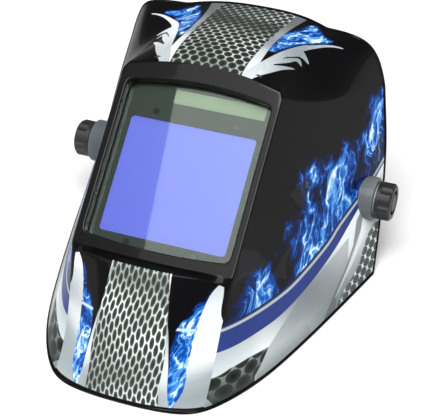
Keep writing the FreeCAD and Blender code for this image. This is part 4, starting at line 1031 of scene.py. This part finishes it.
def build_seats():
    """The round seats that the tension knobs sit on, through the wall to the bosses inside, and the screw bosses."""
    silver = Paint("seat_silver_painted_shade", **GLOSS)
    x, y, z = silver.split(silver.spot())
    # Painted shade: the seats are mostly dark grey over the silver print, standing in for the shade around each knob.
    silver.done(silver.mix(0.85, silver.silver(y, z, x), rgb(66, 70, 74)))
    profile = tube(SEAT_HOLE, SEAT_R, -SEAT_DEPTH, 0.0, 1.2)
    for name, side in (("left", 1), ("right", -1)):
        lathe("knob_seat_" + name, profile, (side * SEAT_OUT, SEAT_Y, SEAT_Z), (side, 0, 0), "shell",
              silver.material)
    ahead = window_point(0, 1, 0) - window_point(0, 0, 0)
    profile = tube(BOSS_HOLE, BOSS_R, BOSS_BACK, BOSS_AHEAD, 0.4)
    spots = [(x, height) for height in (BOSS_LOW, BOSS_HIGH) for x in (-BOSS_X, BOSS_X)]
    for k, (x, height) in enumerate(spots):
        lathe("screw_boss_%d" % (k + 1), profile, window_point(x, 0, height), ahead, "shell",
              SHELL_PAINT["inner"], 32)


# These sizes are in metres, all but the angle.
STRAP_FIXED, STRAP_CARRIED = 0.128, 0.1665      # along Y, in the row frame
STRAP_SLICE = 0.002
SHARP_ANGLE = 35.0               # degrees
PAD_CELL = 0.004                 # mesh size of the padding
PAD_SINK = 0.0007                # the padding starts this far inside the plain form
CLOTH_STEPS = 20


def applied(piece):
    """Mesh of a piece with its modifiers worked in; the piece is left without them."""
    graph = bpy.context.evaluated_depsgraph_get()
    mesh = bpy.data.meshes.new_from_object(piece.evaluated_get(graph))
    piece.modifiers.clear()
    return mesh


def coordinates(mesh):
    flat = np.empty(len(mesh.vertices) * 3)
    mesh.vertices.foreach_get("co", flat)
    return flat.reshape(-1, 3)


def move_vertices(mesh, points):
    mesh.vertices.foreach_set("co", points.ravel())
    mesh.update()


def cushion(node, reach):
    """Foam in a fabric cover, swollen out from the plain form of a node."""
    source = NODES[node]
    mesh = source.data.copy()
    mesh.transform(source.matrix_world)
    mesh.materials.clear()
    piece = new_object(node + "_cover", mesh)
    grid = piece.modifiers.new("grid", "REMESH")
    grid.mode, grid.voxel_size = "VOXEL", PAD_CELL
    piece.data = applied(piece)
    normals = np.array([v.normal[:] for v in piece.data.vertices])
    start = coordinates(piece.data) - normals * PAD_SINK
    move_vertices(piece.data, start)
    cloth = piece.modifiers.new("cloth", "CLOTH")
    cloth.settings.quality = 5
    cloth.settings.mass = 0.2
    cloth.settings.use_pressure = True
    cloth.settings.uniform_pressure_force = 4.0
    cloth.settings.tension_stiffness = cloth.settings.compression_stiffness = 25.0
    cloth.settings.effector_weights.gravity = 0.0
    cloth.point_cache.frame_start, cloth.point_cache.frame_end = 1, CLOTH_STEPS
    scene = bpy.context.scene
    for step in range(1, CLOTH_STEPS + 1):
        scene.frame_set(step)
    shift = coordinates(applied(piece)) - start
    scene.frame_set(1)
    length = np.linalg.norm(shift, axis=1, keepdims=True)
    shift *= np.minimum(1.0, reach / np.maximum(length, 1e-9))
    move_vertices(piece.data, start + shift)
    finer = piece.modifiers.new("finer", "SUBSURF")
    finer.levels = finer.render_levels = 1
    piece.data = applied(piece)
    piece.data.shade_smooth()
    piece.data.materials.append(MATERIALS["pad_fabric"])
    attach(piece, body_of(source)[0])
    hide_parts(node)


def build_pads():
    """The sweatband over the forehead and the pad at the back of the head."""
    cushion("sweatband", 0.0022)
    cushion("rear_pad", 0.0025)


def build_straps():
    """Rear straps, riveted to the band in front and carried by the size adjuster behind."""
    for node in ("rear_strap_left", "rear_strap_right"):
        source = NODES[node]
        shape = bmesh.new()
        shape.from_mesh(source.data)
        shape.transform(source.matrix_world)
        bmesh.ops.remove_doubles(shape, verts=shape.verts[:], dist=1e-6)
        for y in np.arange(STRAP_FIXED, STRAP_CARRIED, STRAP_SLICE):
            bmesh.ops.bisect_plane(shape, geom=shape.verts[:] + shape.edges[:] + shape.faces[:],
                                   plane_co=(0, y, 0), plane_no=(0, 1, 0))
        mesh = bpy.data.meshes.new(node + "_flex")
        shape.to_mesh(mesh)
        shape.free()
        mesh.shade_smooth()
        mesh.set_sharp_from_angle(angle=math.radians(SHARP_ANGLE))
        mesh.materials.append(MATERIALS["strap_plastic"])
        piece = new_object(node + "_flex", mesh)
        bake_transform(piece, "harness", "sizer", start=(0, STRAP_FIXED, 0.05), end=(0, STRAP_CARRIED, 0.05))
        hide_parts(node)


def dress_nodes():
    """Node materials for the CAD nodes that stay."""
    slots = {part["node"]: part["material_slot"] for part in frame["record"]["subparts"]}
    for name, piece in NODES.items():
        if slots[name] in MATERIALS:
            piece.data.materials.clear()
            piece.data.materials.append(MATERIALS[slots[name]])


CAMERA_AIM = (28.96, -37.42, 95.58)             # millimetres
CAMERA_AZIMUTH, CAMERA_HEIGHT = 20.82, 35.78    # degrees
CAMERA_AWAY, CAMERA_RISE = 1.027, 0.0035        # metres
SENSOR_WIDTH, FOCAL_LENGTH = 36.0, 121.68       # millimetres
FLOOR_REACH = 4.0                               # metres
WORLD_LIGHT, SUN_LIGHT, SUN_SPREAD = 0.2, 3.0, 45.0


def build_stage():
    """Floor, lights and camera."""
    mesh = bpy.data.meshes.new("floor")
    corners = [(x * FLOOR_REACH, y * FLOOR_REACH, 0) for x, y in ((-1, -1), (1, -1), (1, 1), (-1, 1))]
    mesh.from_pydata(corners, [], [(0, 1, 2, 3)])
    floor = new_object("floor", mesh)
    paint = Paint("floor_white", roughness=0.9, specular=0.1)
    patches = paint.noise(paint.spot(), 0.002, 2)
    mesh.materials.append(paint.done(paint.mix(patches, rgb(246, 246, 246), rgb(251, 251, 251))))
    world = bpy.data.worlds.new("studio")
    world.use_nodes = True
    colour, strength = world.node_tree.nodes["Background"].inputs[:2]
    colour.default_value, strength.default_value = (1.0, 1.0, 1.0, 1.0), WORLD_LIGHT
    bpy.context.scene.world = world
    bpy.context.scene.view_settings.view_transform = "Standard"

    def softbox(name, spot, aim, size, brightness):
        light = bpy.data.lights.new(name, "AREA")
        light.shape = "RECTANGLE"
        light.size, light.size_y = size
        light.energy = brightness * math.pi * size[0] * size[1]
        lamp = new_object(name, light)
        lamp.location = spot
        lamp.rotation_euler = (Vector(aim) - Vector(spot)).to_track_quat("-Z", "Y").to_euler()
    sun = bpy.data.lights.new("overhead", "SUN")
    sun.energy, sun.angle = SUN_LIGHT, math.radians(SUN_SPREAD)
    new_object("overhead", sun).rotation_euler = (math.radians(24), math.radians(8), 0)
    softbox("front_box", (-0.1, -0.72, 1.32), (-0.1, -0.08, 0.11), (0.78, 1.1), 1.5)
    softbox("left_box", (-1.5, -0.7, 0.9), (0, 0, 0.1), (0.8, 1.2), 1.6)
    softbox("right_box", (1.6, 0.4, 0.9), (0, 0, 0.08), (0.4, 0.9), 2.0)

    target = Vector(place(CAMERA_AIM))
    azimuth, height = math.radians(CAMERA_AZIMUTH), math.radians(CAMERA_HEIGHT)
    back = Vector((math.sin(azimuth) * math.cos(height), -math.cos(azimuth) * math.cos(height), math.sin(height)))
    rise = Vector((-math.sin(azimuth) * math.sin(height), math.cos(azimuth) * math.sin(height), math.cos(height)))
    lens = bpy.data.cameras.new("camera")
    lens.sensor_width, lens.lens = SENSOR_WIDTH, FOCAL_LENGTH
    lens.clip_start = 0.05
    camera = new_object("camera", lens)
    camera.location = target + back * CAMERA_AWAY + rise * CAMERA_RISE
    camera.rotation_euler = (-back).to_track_quat("-Z", "Y").to_euler()
    bpy.context.scene.camera = camera


build_shell()
build_seats()
build_pads()
build_straps()
dress_nodes()
build_stage()
